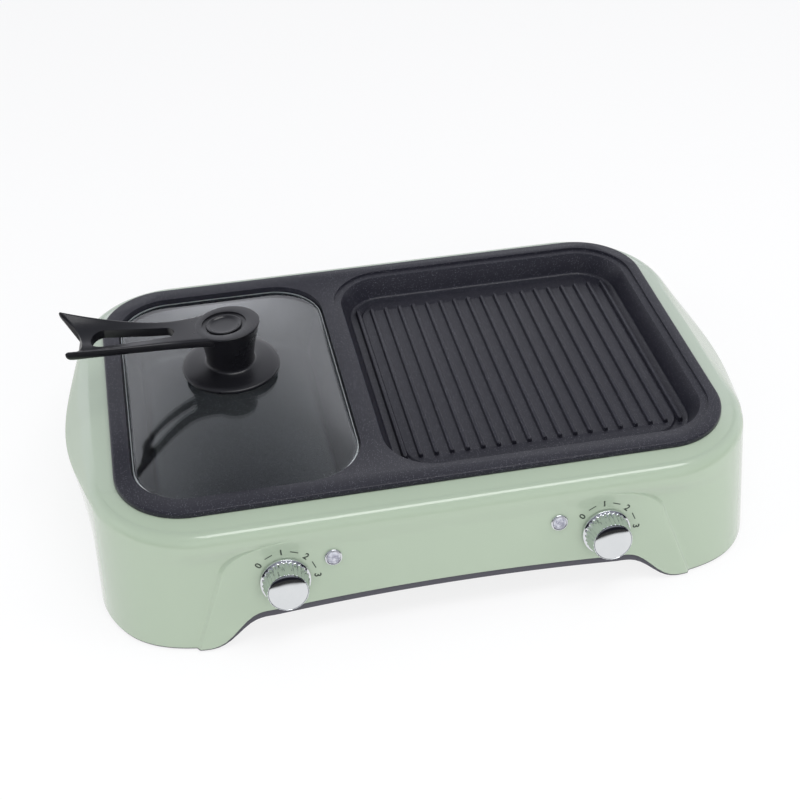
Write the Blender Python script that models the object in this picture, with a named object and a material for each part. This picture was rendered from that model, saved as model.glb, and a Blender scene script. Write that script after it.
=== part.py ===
"""Hot pot grill combo: a countertop cooker with a lidded pot well and a ribbed grill.

Metres, +Z up, the front towards -Y. The origin is on the table, under the middle of the
overall box. Everything hangs from one empty whose own origin is the housing's centre.
"""

from math import asin, atan2, cos, pi, radians, sin, sqrt

import bmesh
import bpy
from mathutils import Vector

# Fits that many pieces share
GAP = 0.0003                 # between pieces that touch or seat
OVERRUN = 0.002              # how far a cutter runs past what it cuts
WELD = 0.001                 # how far one joined shape reaches into the other
ORIGIN_TO_HOUSING = 0.005    # the knobs stick out in front, so the housing sits this far back

# Housing, a moulded shell
RIM_HALF_WIDTH = 0.250
RIM_HALF_DEPTH = 0.162
RIM_RADIUS = 0.080
RIM_HEIGHT = 0.0946
RIM_FILLET = 0.008
BASE_HALF_WIDTH = 0.252
BASE_HALF_DEPTH = 0.181
BASE_RADIUS = 0.077
SHELL_WALL = 0.0028
SHELL_FOOT = 0.0025          # lower edge of the corners above the table
ARCH_HEIGHT = 0.031          # lower edge in the middle of the front
ARCH_SAG = 0.0045            # how far the arch has come down where its ends begin
ARCH_BEND_START = 0.125
ARCH_BEND_END = 0.182
PANEL_DEPTH = 0.002          # the panel between the feet is sunken
PANEL_STEP = 0.0024          # width of its step
PANEL_HALF_WIDTH = 0.187     # at the foot
PANEL_LEAN = 0.022           # how far its side has come in where it starts to round
PANEL_ROUND_START = 0.058
PANEL_TOP = 0.082
PANEL_TOP_HALF_WIDTH = 0.110
PANEL_FADE_START = 0.070
PANEL_FADE_END = 0.085
GRIP_HALF_LENGTH = 0.100     # lens-shaped scoops in the short sides
GRIP_BULGE = 0.0155
GRIP_HOLLOW = 0.0055
GRIP_EDGE_HEIGHT = 0.075
GRIP_POWER = 1.5
BAND_HEIGHT = 0.098          # top of the ledge that carries the plate
LEDGE_WIDTH = 0.007          # of the ledge under the plate's edge
LEDGE_DEPTH = 0.006

# Base cover
BASE_FOOT = 0.0012           # its underside at the feet
BASE_DROP = 0.005            # how far it shows below the arch
BASE_FLOOR = 0.0025
BASE_RIM = 0.006             # how far its rim stands up inside the shell
BASE_RIM_WALL = 0.002
BASE_CLEARANCE = 0.0010
FOOT_RADIUS = 0.014
FOOT_THICKNESS = 0.003
FOOT_BEVEL = 0.0006
FOOT_INSET_X = 0.045         # feet and screws keep to the narrower end of the walls
FOOT_INSET_Y = 0.058
FOOT_BOSS_WALL = 0.0025
VENT_LENGTH = 0.034
VENT_WIDTH = 0.004
VENT_PITCH = 0.010
VENT_COUNT = 6
VENT_Y = 0.060

# Screws
BASE_SCREW_RADIUS = 0.0019
BASE_SCREW_LENGTH = 0.014
BASE_SCREW_HEAD_RADIUS = 0.0038
BASE_SCREW_HEAD = 0.0022
SCREW_RECESS = 0.0034        # counterbore in the base's underside
SCREW_PAD_RADIUS = 0.0075
BOSS_RADIUS = 0.0052
BOSS_TOP = 0.0932
CORNER_BOSS_INSET = 0.0315
MIDDLE_BOSS_INSET = 0.0145
SMALL_SCREW_RADIUS = 0.0017
SMALL_SCREW_LENGTH = 0.008
SMALL_SCREW_HEAD_RADIUS = 0.0034
SMALL_SCREW_HEAD = 0.0018

# Cooking plate, one casting
BAND_WIDTH_AT_SIDES = 0.020  # housing left bare round the plate
BAND_WIDTH_AT_FRONT = 0.019
PLATE_HALF_WIDTH = RIM_HALF_WIDTH - BAND_WIDTH_AT_SIDES
PLATE_HALF_DEPTH = RIM_HALF_DEPTH - BAND_WIDTH_AT_FRONT
PLATE_RADIUS = 0.053
PLATE_TOP = 0.1028
PLATE_BEVEL = 0.0012
CAST_WALL = 0.0030

POT_SIDE_MARGIN = 0.013      # plate left of the pot well
POT_FRONT_MARGIN = 0.0155
POT_HALF_WIDTH = 0.0843
POT_HALF_DEPTH = PLATE_HALF_DEPTH - POT_FRONT_MARGIN
POT_X = POT_SIDE_MARGIN + POT_HALF_WIDTH - PLATE_HALF_WIDTH
POT_RADIUS = 0.042
POT_LEDGE_DEPTH = 0.0072
POT_LEDGE_WIDTH = 0.005
POT_FLOOR = 0.052
POT_FLOOR_THICKNESS = 0.0035
POT_DRAFT = 0.009
POT_FLOOR_FILLET = 0.010

DIVIDER_WIDTH = 0.0104       # plate between the pot well and the grill
GRILL_SIDE_MARGIN = 0.009
GRILL_FRONT_MARGIN = 0.011
GRILL_LEFT = POT_X + POT_HALF_WIDTH + DIVIDER_WIDTH
GRILL_RIGHT = PLATE_HALF_WIDTH - GRILL_SIDE_MARGIN
GRILL_X = (GRILL_RIGHT + GRILL_LEFT) / 2
GRILL_HALF_WIDTH = (GRILL_RIGHT - GRILL_LEFT) / 2
GRILL_HALF_DEPTH = PLATE_HALF_DEPTH - GRILL_FRONT_MARGIN
GRILL_RADIUS = 0.045
GRILL_LEDGE_DEPTH = 0.002
GRILL_LEDGE_WIDTH = 0.006
GRILL_FLOOR = 0.0840
GRILL_FLOOR_THICKNESS = 0.004
GRILL_DRAFT = 0.0065
GRILL_FLOOR_FILLET = 0.003
GRILL_CHANNEL = 0.007
PLATEAU_HEIGHT = 0.0012
PLATEAU_SLOPE = 0.0015
RIB_COUNT = 19
RIB_SIDE_MARGIN = 0.0215     # from the recess's edge to the middle of the last rib
RIB_END_MARGIN = 0.033
RIB_PITCH = 2 * (GRILL_HALF_WIDTH - RIB_SIDE_MARGIN) / (RIB_COUNT - 1)
RIB_WIDTH = 0.0042
RIB_TOP_WIDTH = 0.0028
RIB_HEIGHT = 0.0030
RIB_HALF_LENGTH = GRILL_HALF_DEPTH - RIB_END_MARGIN

CLIP_BOSS_RADIUS = 0.0045
CLIP_BOSS_BOTTOM = 0.0748
CLIP_BESIDE_POT = 0.0077     # from the pot well's edge to the divider's clips
CLIP_PAST_GRILL = 0.0585     # from the grill's middle to its clips
CLIP_BOSS_INSET = 0.0265
CLIP_DIVIDER_X = POT_X + POT_HALF_WIDTH + CLIP_BESIDE_POT
CLIP_GRILL_X = GRILL_X + CLIP_PAST_GRILL
CLIP_BOSS_Y = PLATE_HALF_DEPTH - CLIP_BOSS_INSET
CLIP_WIDTH = 0.014
CLIP_STEEL = 0.0015
CLIP_TAIL = 0.007
CLIP_FOOT = 0.004

# Heaters
TUBE_RADIUS = 0.0033
SHIELD_STEEL = 0.0010
SHIELD_RIM = 0.012
SHIELD_BOSS_RADIUS = 0.0050
SHIELD_BOSS_Y = 0.045
POT_LOOP_INSET_X = 0.0323    # elements and shields follow their well's size
POT_LOOP_INSET_Y = 0.0395
POT_LOOP_RADIUS = 0.030
POT_SHIELD_INSET_X = 0.0143
POT_SHIELD_INSET_Y = 0.0145
POT_SHIELD_RADIUS = 0.033
GRILL_LOOP_INSET_X = 0.0375
GRILL_LOOP_INSET_Y = 0.054
GRILL_LOOP_RADIUS = 0.034
GRILL_SHIELD_INSET_X = 0.0175
GRILL_SHIELD_INSET_Y = 0.028
GRILL_SHIELD_RADIUS = 0.033
LOOP_MOUTH = 0.026           # between the two legs of an element
LOOP_MOUTH_RADIUS = 0.010
LOOP_LEG = 0.014
CUTOUT_RADIUS = 0.008
CUTOUT_FLANGE_RADIUS = 0.0115
CUTOUT_FLANGE = 0.0015

# Controls, placed on the leaning front wall
KNOB_X = 0.119
KNOB_HEIGHT = 0.0502
LAMP_X = 0.0835
LAMP_HEIGHT = 0.063
KNOB_FLANGE_RADIUS = 0.0183
KNOB_FLANGE = 0.0022
KNOB_BARREL_RADIUS = 0.0172
KNOB_TIP_RADIUS = 0.0150
KNOB_LENGTH = 0.0168         # from the panel to the barrel's front edge
KNOB_AIR = 0.0006            # between the knob and the panel
KNOB_WALL = 0.0022
KNOB_FLUTES = 30
KNOB_FLUTE_DEPTH = 0.0007
KNOB_CAP_RADIUS = 0.0137
KNOB_CAP_RISE = 0.0016
KNOB_CAP_SEAT = 0.0015
KNOB_CAP_THICKNESS = 0.0012
SHAFT_RADIUS = 0.0030
SHAFT_FIT = 0.00033
SHAFT_DEPTH = 0.009
SHAFT_FLAT = 0.0007
SLEEVE_WALL = 0.0022
BUSH_RADIUS = 0.0048
BUSH_LENGTH = 0.0044
NUT_RADIUS = 0.0078
NUT_THICKNESS = 0.0024
SWITCH_HALF_SIZE = 0.0135
SWITCH_DEPTH = 0.017
SWITCH_CHAMFER = 0.003
LAMP_RADIUS = 0.0059
LAMP_RIM = 0.0011
LAMP_FLANGE = 0.0012
LAMP_BARREL_RADIUS = 0.0046
LAMP_BARREL = 0.009
LAMP_WALL = 0.0009
LAMP_DOME = 0.0014
KNOB_TURN_SIDES = 28
LAMP_SIDES = 16
HOLE_SIDES = 16
SCREW_SIDES = 8
BOSS_SIDES = 10
NUT_SIDES = 18
ROUND_END_STEPS = 4
TUBE_RESOLUTION = 1
KNOB_POCKET_SIDES = 20
LOOP_STEPS = 5
SLOT_END_STEPS = 6
ARCH_ROUNDS = 30            # passes that settle where a leaning column meets the arch
HUB_SIDES = 28

# Cord inlet on the back wall
INLET_X = 0.090
INLET_HEIGHT = 0.052
INLET_HALF_WIDTH = 0.0135
INLET_HALF_HEIGHT = 0.0098
INLET_DEPTH = 0.020
INLET_WALL = 0.0016
INLET_FLANGE_HALF_WIDTH = 0.0250
INLET_FLANGE_HALF_HEIGHT = 0.0125
INLET_FLANGE = 0.0018
INLET_FLANGE_RADIUS = 0.0100
INLET_CORNER = 0.0040
INLET_SCREW_X = 0.0200
PIN_HALF_WIDTH = 0.0010
PIN_HALF_HEIGHT = 0.0020
PIN_LENGTH = 0.0165
PIN_STAND = 0.0140
PIN_SPACING = 0.0070
EARTH_PIN_RISE = 0.0022
LIVE_PIN_DROP = 0.0018

# Lid
LID_PLAY = 0.0012            # round the glass in its opening
GLASS_THICKNESS = 0.0035
LID_DOME = 0.0195
LID_DOME_POWER = 2.2
GLASS_RING_SHARES = (1.0, 0.94, 0.82, 0.64, 0.40, 0.12)
LID_HOLE_RADIUS = 0.0032
LID_SHANK_RADIUS = 0.0025
GASKET_RADIUS = 0.0130
GASKET_THICKNESS = 0.0012
FLANGE_RADIUS = 0.0374
FLANGE_EDGE = 0.0032
FLANGE_RISE = 0.0016
HUB_FOOT_RADIUS = 0.0215
HUB_WAIST_RADIUS = 0.0192
HUB_NECK_RADIUS = 0.0208
HUB_TOP_RADIUS = 0.0248
HUB_TOP_THICKNESS = 0.0075
HUB_HEIGHT = 0.0340          # from the flange's edge to the top
HUB_CURVE_SHARES = ((0.08, 0.35), (0.30, 1.0))   # height up the hub, how far in to the waist
HUB_NECK_SHARES = (0.70, 0.40)                   # height up the hub, how far out to the neck
HUB_BEVEL = 0.0012
HUB_RING_RADIUS = 0.0168
HUB_RING_DEPTH = 0.0012
HANDLE_CAP_RADIUS = 0.0135
HANDLE_CAP_THICKNESS = 0.0020
HANDLE_CAP_DISH = 0.0008
HANDLE_CAP_SHIFT = 0.0055     # from the hub's axis towards the arm
HUB_BORE_RADIUS = 0.0060
HUB_SEAT_THICKNESS = 0.0050
LID_NUT_RADIUS = 0.0050
LID_NUT_THICKNESS = 0.0032
LID_WASHER_RADIUS = 0.0095
LID_WASHER_THICKNESS = 0.0012
LID_HEAD_RADIUS = 0.0060
LID_HEAD_THICKNESS = 0.0022
ARM_LENGTH = 0.1230          # from the hub's axis to the tips
ARM_HALF_TIP = 0.0272
ARM_TIP_HOLLOW = 0.0145
ARM_ROOT_HALF = 0.0205
ARM_WAIST_HALF = 0.0152
ARM_WAIST_AT = 0.0450
ARM_FLARE = 1.5
ARM_THICKNESS = 0.0070
ARM_RISE = 0.0141            # of the tips, with the arm's middle level
ARM_CURL = 1.75
ARM_DROP = 0.0008            # its top below the hub's top
ARM_SLOT_START = 0.0400
ARM_SLOT_END = 0.1020
ARM_SLOT_HALF_START = 0.0062
ARM_SLOT_HALF_END = 0.0105
ARM_ROOT_AT = 0.0120
ARM_RISE_START = 0.0270
ARM_STEPS = 12
ARM_ACROSS_SHARES = (-1.0, -0.72, -0.36, 0.0, 0.36, 0.72, 1.0)

# Segments of curved outlines
CORNER_STEPS = 6
PLATE_CORNER_STEPS = 6
PANEL_COLUMNS = 8
SIDE_COLUMNS = 4
FILLET_STEPS = 3
WALL_ROW_SHARES = (0.0, 0.27, 0.52, 0.76, 1.0)
INNER_ROW_SHARES = (1.0, 0.68, 0.0)
MIDDLE = 0.5


def clear_scene():
    for old in list(bpy.data.objects):
        bpy.data.objects.remove(old, do_unlink=True)


def material(name, colour, roughness, metallic=0.0, alpha=1.0):
    """A Principled material. The colour is linear."""
    made = bpy.data.materials.new(name)
    made.use_nodes = True
    shader = made.node_tree.nodes["Principled BSDF"]
    shader.inputs["Base Color"].default_value = (*colour, 1.0)
    shader.inputs["Roughness"].default_value = roughness
    shader.inputs["Metallic"].default_value = metallic
    shader.inputs["Alpha"].default_value = alpha
    made.diffuse_color = (*colour, alpha)
    return made


def place(name, mesh_builder, finish, parent, location=(0, 0, 0), smooth=35):
    """Makes a named object from a bmesh and hangs it from its parent."""
    bmesh.ops.recalc_face_normals(mesh_builder, faces=mesh_builder.faces)
    mesh = bpy.data.meshes.new(name)
    mesh_builder.to_mesh(mesh)
    mesh_builder.free()
    mesh.shade_smooth()
    mesh.set_sharp_from_angle(angle=radians(smooth))
    made = bpy.data.objects.new(name, mesh)
    bpy.context.collection.objects.link(made)
    made.parent = parent
    made.location = location
    if finish:
        mesh.materials.append(finish)
    return made


def helper(name, mesh_builder, parent, location=(0, 0, 0)):
    """A guide shape that only cuts or joins."""
    made = place(name, mesh_builder, None, parent, location)
    made.hide_render = True
    made.display_type = "WIRE"
    return made


def combine(target, tool, operation):
    step = target.modifiers.new(f"{operation.lower()} {tool.name}", "BOOLEAN")
    step.operation = operation
    step.object = tool
    return step


def cut(target, tool):
    return combine(target, tool, "DIFFERENCE")


def join(target, tool):
    return combine(target, tool, "UNION")


def empty(name, parent, location, rotation=(0, 0, 0)):
    made = bpy.data.objects.new(name, None)
    bpy.context.collection.objects.link(made)
    made.parent = parent
    made.location = location
    made.rotation_euler = rotation
    return made


def loft(rings, capped=True, builder=None):
    """Skins rings of equally many points. Capped ends close it, else the last ring meets the first."""
    builder = builder or bmesh.new()
    rows = [[builder.verts.new(point) for point in ring] for ring in rings]
    count = len(rows[0])
    pairs = list(zip(rows, rows[1:]))
    if capped:
        builder.faces.new(rows[0])
        builder.faces.new(rows[-1])
    else:
        pairs.append((rows[-1], rows[0]))
    for low, high in pairs:
        for i in range(count):
            j = (i + 1) % count
            builder.faces.new((low[i], low[j], high[j], high[i]))
    return builder


def turned(profile, sides, builder=None):
    """Turns (radius, height) points about Z. Points on the axis close the ends."""
    builder = builder or bmesh.new()
    angles = [2 * pi * i / sides for i in range(sides)]
    rings = []
    for radius, height in profile:
        if radius == 0:
            rings.append([builder.verts.new((0, 0, height))])
        else:
            rings.append([builder.verts.new((radius * cos(a), radius * sin(a), height)) for a in angles])
    closed = profile[0][0] == 0 and profile[-1][0] == 0
    pairs = list(zip(rings, rings[1:]))
    if not closed:
        pairs.append((rings[-1], rings[0]))
    for low, high in pairs:
        for i in range(sides):
            j = (i + 1) % sides
            corners = [low[i % len(low)], low[j % len(low)], high[j % len(high)], high[i % len(high)]]
            builder.faces.new(list(dict.fromkeys(corners)))
    return builder


def box(half_x, half_y, low_z, high_z, x=0, y=0, builder=None):
    corners = [(-half_x, -half_y), (half_x, -half_y), (half_x, half_y), (-half_x, half_y)]
    rings = [[(x + a, y + b, z) for a, b in corners] for z in (low_z, high_z)]
    return loft(rings, builder=builder)


def rod(radius, low_z, high_z, sides=HOLE_SIDES, x=0, y=0, builder=None):
    angles = [2 * pi * i / sides for i in range(sides)]
    rings = [[(x + radius * cos(a), y + radius * sin(a), z) for a in angles] for z in (low_z, high_z)]
    return loft(rings, builder=builder)


def rounded_rectangle(half_width, half_depth, radius, z, x=0, y=0, steps=PLATE_CORNER_STEPS):
    """Counterclockwise outline as a list of 3-D points."""
    points = []
    for corner, (side_x, side_y) in enumerate(((1, 1), (-1, 1), (-1, -1), (1, -1))):
        for step in range(steps + 1):
            angle = (corner + step / steps) * pi / 2
            points.append((
                x + side_x * (half_width - radius) + radius * cos(angle),
                y + side_y * (half_depth - radius) + radius * sin(angle),
                z,
            ))
    return points


def smoothstep(low, high, value):
    share = min(max((value - low) / (high - low), 0), 1)
    return share * share * (3 - 2 * share)


def mix(start, end, share):
    return start + (end - start) * share


# Housing wall

def wall_outline(z):
    """Half width, half depth and corner radius of the outer wall at a height."""
    share = z / RIM_HEIGHT
    return (
        mix(BASE_HALF_WIDTH, RIM_HALF_WIDTH, share),
        mix(BASE_HALF_DEPTH, RIM_HALF_DEPTH, share),
        mix(BASE_RADIUS, RIM_RADIUS, share),
    )


def quarter_point(outline, station):
    """Point and normal on the front right quarter: 0-1 front, 1-2 corner, 2-3 right side."""
    half_width, half_depth, radius = outline
    if station <= 1:
        return Vector((station * (half_width - radius), -half_depth)), Vector((0, -1))
    if station <= 2:
        angle = (station - 1) * pi / 2
        normal = Vector((sin(angle), -cos(angle)))
        return Vector((half_width - radius, radius - half_depth)) + normal * radius, normal
    return Vector((half_width, (station - 3) * (half_depth - radius))), Vector((1, 0))


def station_of(x, z):
    """Station of a point of the front wall by its x."""
    half_width, _, radius = wall_outline(z)
    flat = half_width - radius
    if x <= flat:
        return x / flat
    return 1 + asin(min((x - flat) / radius, 1)) / (pi / 2)


def panel_edge(z):
    """Half width of the sunken panel at a height: a leaning side that rounds in to the top."""
    if z <= PANEL_ROUND_START:
        return PANEL_HALF_WIDTH - PANEL_LEAN * z / PANEL_ROUND_START
    share = min((z - PANEL_ROUND_START) / (PANEL_TOP - PANEL_ROUND_START), 1)
    corner = PANEL_HALF_WIDTH - PANEL_LEAN
    return PANEL_TOP_HALF_WIDTH + (corner - PANEL_TOP_HALF_WIDTH) * sqrt(1 - share * share)


def panel_depth(z):
    return PANEL_DEPTH * (1 - smoothstep(PANEL_FADE_START, PANEL_FADE_END, z))


def arch(x, foot, crown):
    """Height of a lower edge: level feet, an S bend and a flat bow."""
    bow = crown - ARCH_SAG * (min(abs(x), ARCH_BEND_START) / ARCH_BEND_START) ** 2
    return mix(bow, foot, smoothstep(ARCH_BEND_START, ARCH_BEND_END, abs(x)))


def grip_share(y):
    return max(0, 1 - (y / GRIP_HALF_LENGTH) ** 2) ** GRIP_POWER


def wall_top(y):
    return mix(RIM_HEIGHT - RIM_FILLET, GRIP_EDGE_HEIGHT, grip_share(y))


def wall_columns():
    """Stations of the quarter's columns, each a function of height, with the panel flag."""
    columns = []
    for i in range(PANEL_COLUMNS + 1):
        share = i / PANEL_COLUMNS
        columns.append((lambda z, s=share: s * station_of(panel_edge(z) - PANEL_STEP / 2, z), True))
    for i in range(CORNER_STEPS + 1):
        share = i / CORNER_STEPS
        columns.append((lambda z, s=share: mix(station_of(panel_edge(z) + PANEL_STEP / 2, z), 2, s), False))
    for i in range(1, SIDE_COLUMNS + 1):
        share = i / SIDE_COLUMNS
        columns.append((lambda z, s=share: 2 + s, False))
    return columns


def wall_point(column, z, inset):
    """Point of the wall on a column at a height, moved in along the plan normal."""
    station, sunken = column
    point, normal = quarter_point(wall_outline(z), station(z))
    depth = inset + (panel_depth(z) if sunken else 0)
    bulge = GRIP_BULGE * grip_share(point.y) * min(z / wall_top(point.y), 1)
    moved = point - normal * depth
    return Vector((moved.x + bulge, moved.y, z))


def edge_height(column, foot, crown):
    """Height where a column meets a lower edge of the arch's shape."""
    z = foot
    for _ in range(ARCH_ROUNDS):
        z = arch(quarter_point(wall_outline(z), column[0](z))[0].x, foot, crown)
    return z


def housing_column(column):
    """One closed run of points: up the outside, over the rim and ledge, and down the inside."""
    low = edge_height(column, SHELL_FOOT, ARCH_HEIGHT)
    side = quarter_point(wall_outline(RIM_HEIGHT), column[0](RIM_HEIGHT))[0]
    share = grip_share(side.y)
    top = wall_top(side.y)
    points = [wall_point(column, mix(low, top, s), 0) for s in WALL_ROW_SHARES]
    for step in range(1, FILLET_STEPS + 1):
        part = step / FILLET_STEPS
        angle = part * pi / 2
        inset = mix(RIM_FILLET * (1 - cos(angle)), mix(-GRIP_BULGE, GRIP_HOLLOW, part), share)
        fillet = RIM_HEIGHT - RIM_FILLET * (1 - sin(angle))
        z = mix(fillet, mix(GRIP_EDGE_HEIGHT, RIM_HEIGHT, part), share)
        point, normal = quarter_point(wall_outline(z), column[0](z))
        points.append(Vector((*(point - normal * inset), z)))
    station = column[0](RIM_HEIGHT)
    plate = (PLATE_HALF_WIDTH + GAP, PLATE_HALF_DEPTH + GAP, PLATE_RADIUS + GAP)
    opening = tuple(size - LEDGE_WIDTH for size in plate)
    under = tuple(size + SHELL_WALL for size in opening)
    for outline, z in (
        (plate, BAND_HEIGHT),
        (opening, BAND_HEIGHT),
        (opening, BAND_HEIGHT - LEDGE_DEPTH),
        (under, BAND_HEIGHT - LEDGE_DEPTH),
        (under, BAND_HEIGHT - SHELL_WALL),
    ):
        points.append(Vector((*quarter_point(outline, station)[0], z)))
    point, normal = quarter_point(wall_outline(RIM_HEIGHT), station)
    inset = mix(RIM_FILLET, GRIP_HOLLOW + SHELL_WALL, share)
    points.append(Vector((*(point - normal * inset), RIM_HEIGHT - SHELL_WALL)))
    points += [wall_point(column, mix(low, top - SHELL_WALL, s), SHELL_WALL) for s in INNER_ROW_SHARES]
    return points


def mirrored_loop(quarter):
    """Runs the quarter's columns right round, front middle to front middle, counterclockwise."""
    def turn(columns, sign_x, sign_y):
        return [[Vector((p.x * sign_x, p.y * sign_y, p.z)) for p in column] for column in columns]
    back = quarter[::-1]
    return (
        turn(quarter, 1, 1)
        + turn(back[1:], 1, -1)
        + turn(quarter[1:], -1, -1)
        + turn(back[1:-1], -1, 1)
    )


def narrow_end():
    """Half width and half depth of the walls at their narrower end, top or foot."""
    return min(RIM_HALF_WIDTH, BASE_HALF_WIDTH), min(RIM_HALF_DEPTH, BASE_HALF_DEPTH)


def boss_places():
    half_width, half_depth = narrow_end()
    corner_x = half_width - CORNER_BOSS_INSET
    corner_y = half_depth - CORNER_BOSS_INSET
    middle_y = half_depth - MIDDLE_BOSS_INSET
    corners = [(x, y) for x in (-corner_x, corner_x) for y in (-corner_y, corner_y)]
    return corners + [(0, -middle_y), (0, middle_y)]


def base_underside(x):
    return arch(x, BASE_FOOT, ARCH_HEIGHT - BASE_DROP)


def screw_seat(x):
    """Ceiling of the counterbore that hides a base screw's head."""
    return base_underside(x) + SCREW_RECESS


def screw_pad_top(x):
    return screw_seat(x) + BASE_FLOOR


def front_wall_empty(name, parent, x, height, sign):
    """An empty on the sunken panel, its Z axis out of the wall. The sign is -1 in front, 1 behind."""
    lean = atan2(BASE_HALF_DEPTH - RIM_HALF_DEPTH, RIM_HEIGHT)
    depth = wall_outline(height)[1] - panel_depth(height)
    turn = 0 if sign < 0 else pi
    return empty(name, parent, (x, sign * depth, height), (pi / 2 - lean, 0, turn))


def make_housing(frame, finish):
    quarter = [housing_column(column) for column in wall_columns()]
    housing = place("housing_shell", loft(mirrored_loop(quarter), capped=False), finish, frame)
    bosses = bmesh.new()
    bores = bmesh.new()
    for x, y in boss_places():
        low = screw_pad_top(x) + GAP
        rod(BOSS_RADIUS, low, BOSS_TOP, sides=BOSS_SIDES, x=x, y=y, builder=bosses)
        depth = screw_seat(x) + BASE_SCREW_LENGTH + OVERRUN
        rod(BASE_SCREW_RADIUS + GAP, low - OVERRUN, depth, sides=SCREW_SIDES, x=x, y=y, builder=bores)
    join(housing, helper("guide_bosses", bosses, frame))
    cut(housing, helper("guide_boss_bores", bores, frame))
    return housing


def make_base(frame, finish):
    """A floor that follows the arch from front to back, with a rim inside the shell."""
    inset = SHELL_WALL + BASE_CLEARANCE

    def rim_point(column, z, extra):
        return wall_point(column, z, inset + extra)

    builder = bmesh.new()
    quarter = []
    for column in wall_columns():
        foot = edge_height(column, BASE_FOOT, ARCH_HEIGHT - BASE_DROP)
        lip = foot + BASE_DROP + BASE_RIM
        quarter.append([
            rim_point(column, foot, 0),
            rim_point(column, lip, 0),
            rim_point(column, lip, BASE_RIM_WALL),
            rim_point(column, foot + BASE_FLOOR, BASE_RIM_WALL),
        ])
    loop = mirrored_loop(quarter)
    rows = [[builder.verts.new(column[i]) for column in loop] for i in range(len(quarter[0]))]
    count = len(loop)
    for low, high in zip(rows, rows[1:]):
        for i in range(count):
            j = (i + 1) % count
            builder.faces.new((low[i], low[j], high[j], high[i]))
    side = len(quarter) - 1
    corner = side - SIDE_COLUMNS
    for row in (rows[0], rows[-1]):
        for way in (1, -1):
            for i in range(corner - 1):
                front = (way * i, way * (i + 1))
                back = (2 * side - way * (i + 1), 2 * side - way * i)
                builder.faces.new([row[k % count] for k in (*front, *back)])
            ends = [way * k for k in range(corner - 1, 2 * side - corner + 2)]
            builder.faces.new([row[k % count] for k in ends])
    base = place("base_cover", builder, finish, frame)
    pads = bmesh.new()
    recesses = bmesh.new()
    ceiling = FOOT_THICKNESS + GAP
    for x, y in foot_places():
        boss_low = BASE_FOOT + BASE_FLOOR / 2
        rod(FOOT_RADIUS + FOOT_BOSS_WALL, boss_low, ceiling + BASE_FLOOR, x=x, y=y, builder=pads)
        rod(FOOT_RADIUS + GAP, BASE_FOOT - OVERRUN, ceiling, x=x, y=y, builder=recesses)
    for x, y in boss_places():
        low = base_underside(x)
        pad_low = low + BASE_FLOOR / 2
        rod(SCREW_PAD_RADIUS, pad_low, screw_pad_top(x), sides=BOSS_SIDES, x=x, y=y, builder=pads)
        recess = BASE_SCREW_HEAD_RADIUS + GAP
        rod(recess, low - OVERRUN, screw_seat(x), sides=BOSS_SIDES, x=x, y=y, builder=recesses)
    join(base, helper("guide_base_pads", pads, frame))
    cut(base, helper("guide_base_recesses", recesses, frame))
    holes = bmesh.new()
    for x, y in boss_places():
        low = screw_seat(x)
        high = low + BASE_FLOOR + OVERRUN
        rod(BASE_SCREW_RADIUS + GAP, low - OVERRUN, high, sides=SCREW_SIDES, x=x, y=y, builder=holes)
    for side_sign in (-1, 1):
        for i in range(VENT_COUNT):
            x = (i - (VENT_COUNT - 1) / 2) * VENT_PITCH
            low = base_underside(x)
            y = side_sign * VENT_Y
            high = low + BASE_FLOOR + OVERRUN
            box(VENT_WIDTH / 2, VENT_LENGTH / 2, low - OVERRUN, high, x=x, y=y, builder=holes)
    cut(base, helper("guide_base_holes", holes, frame))
    return base


def foot_places():
    half_width, half_depth = narrow_end()
    foot_x = half_width - FOOT_INSET_X
    foot_y = half_depth - FOOT_INSET_Y
    return [(x, y) for x in (-foot_x, foot_x) for y in (-foot_y, foot_y)]


def make_feet(frame, finish):
    for (x, y), name in zip(foot_places(), ("left_front", "left_back", "right_front", "right_back")):
        profile = [
            (0, 0),
            (FOOT_RADIUS - FOOT_BEVEL, 0),
            (FOOT_RADIUS, FOOT_BEVEL),
            (FOOT_RADIUS, FOOT_THICKNESS),
            (0, FOOT_THICKNESS),
        ]
        place(f"{name}_foot_pad", turned(profile, HOLE_SIDES), finish, frame, (x, y, 0))


def screw_profile(radius, length, head_radius, head):
    """Head down at z 0 to -head, the shank up."""
    return [
        (0, -head),
        (head_radius, -head * MIDDLE),
        (head_radius, 0),
        (radius, 0),
        (radius, length - radius),
        (0, length),
    ]


def make_base_screws(frame, finish):
    names = ("left_front", "left_back", "right_front", "right_back", "middle_front", "middle_back")
    profile = screw_profile(BASE_SCREW_RADIUS, BASE_SCREW_LENGTH, BASE_SCREW_HEAD_RADIUS, BASE_SCREW_HEAD)
    for (x, y), name in zip(boss_places(), names):
        place(f"{name}_base_screw", turned(profile, SCREW_SIDES), finish, frame, (x, y, screw_seat(x) - GAP))


# Cooking plate

def well_rings(x, sizes, insets_and_heights):
    half_width, half_depth, radius = sizes
    return [
        rounded_rectangle(half_width - inset, half_depth - inset, radius - inset, z, x=x)
        for inset, z in insets_and_heights
    ]


def plate_underside():
    return BAND_HEIGHT + GAP


def pot_cavity():
    ledge = PLATE_TOP - POT_LEDGE_DEPTH
    wall = POT_LEDGE_WIDTH
    floor_inset = wall + POT_DRAFT
    bend = POT_FLOOR_FILLET * (1 - cos(pi / 4))
    return [
        (0, PLATE_TOP + OVERRUN),
        (0, ledge),
        (wall, ledge),
        (floor_inset, POT_FLOOR + POT_FLOOR_FILLET),
        (floor_inset + bend, POT_FLOOR + bend),
        (floor_inset + POT_FLOOR_FILLET, POT_FLOOR),
    ]


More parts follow.
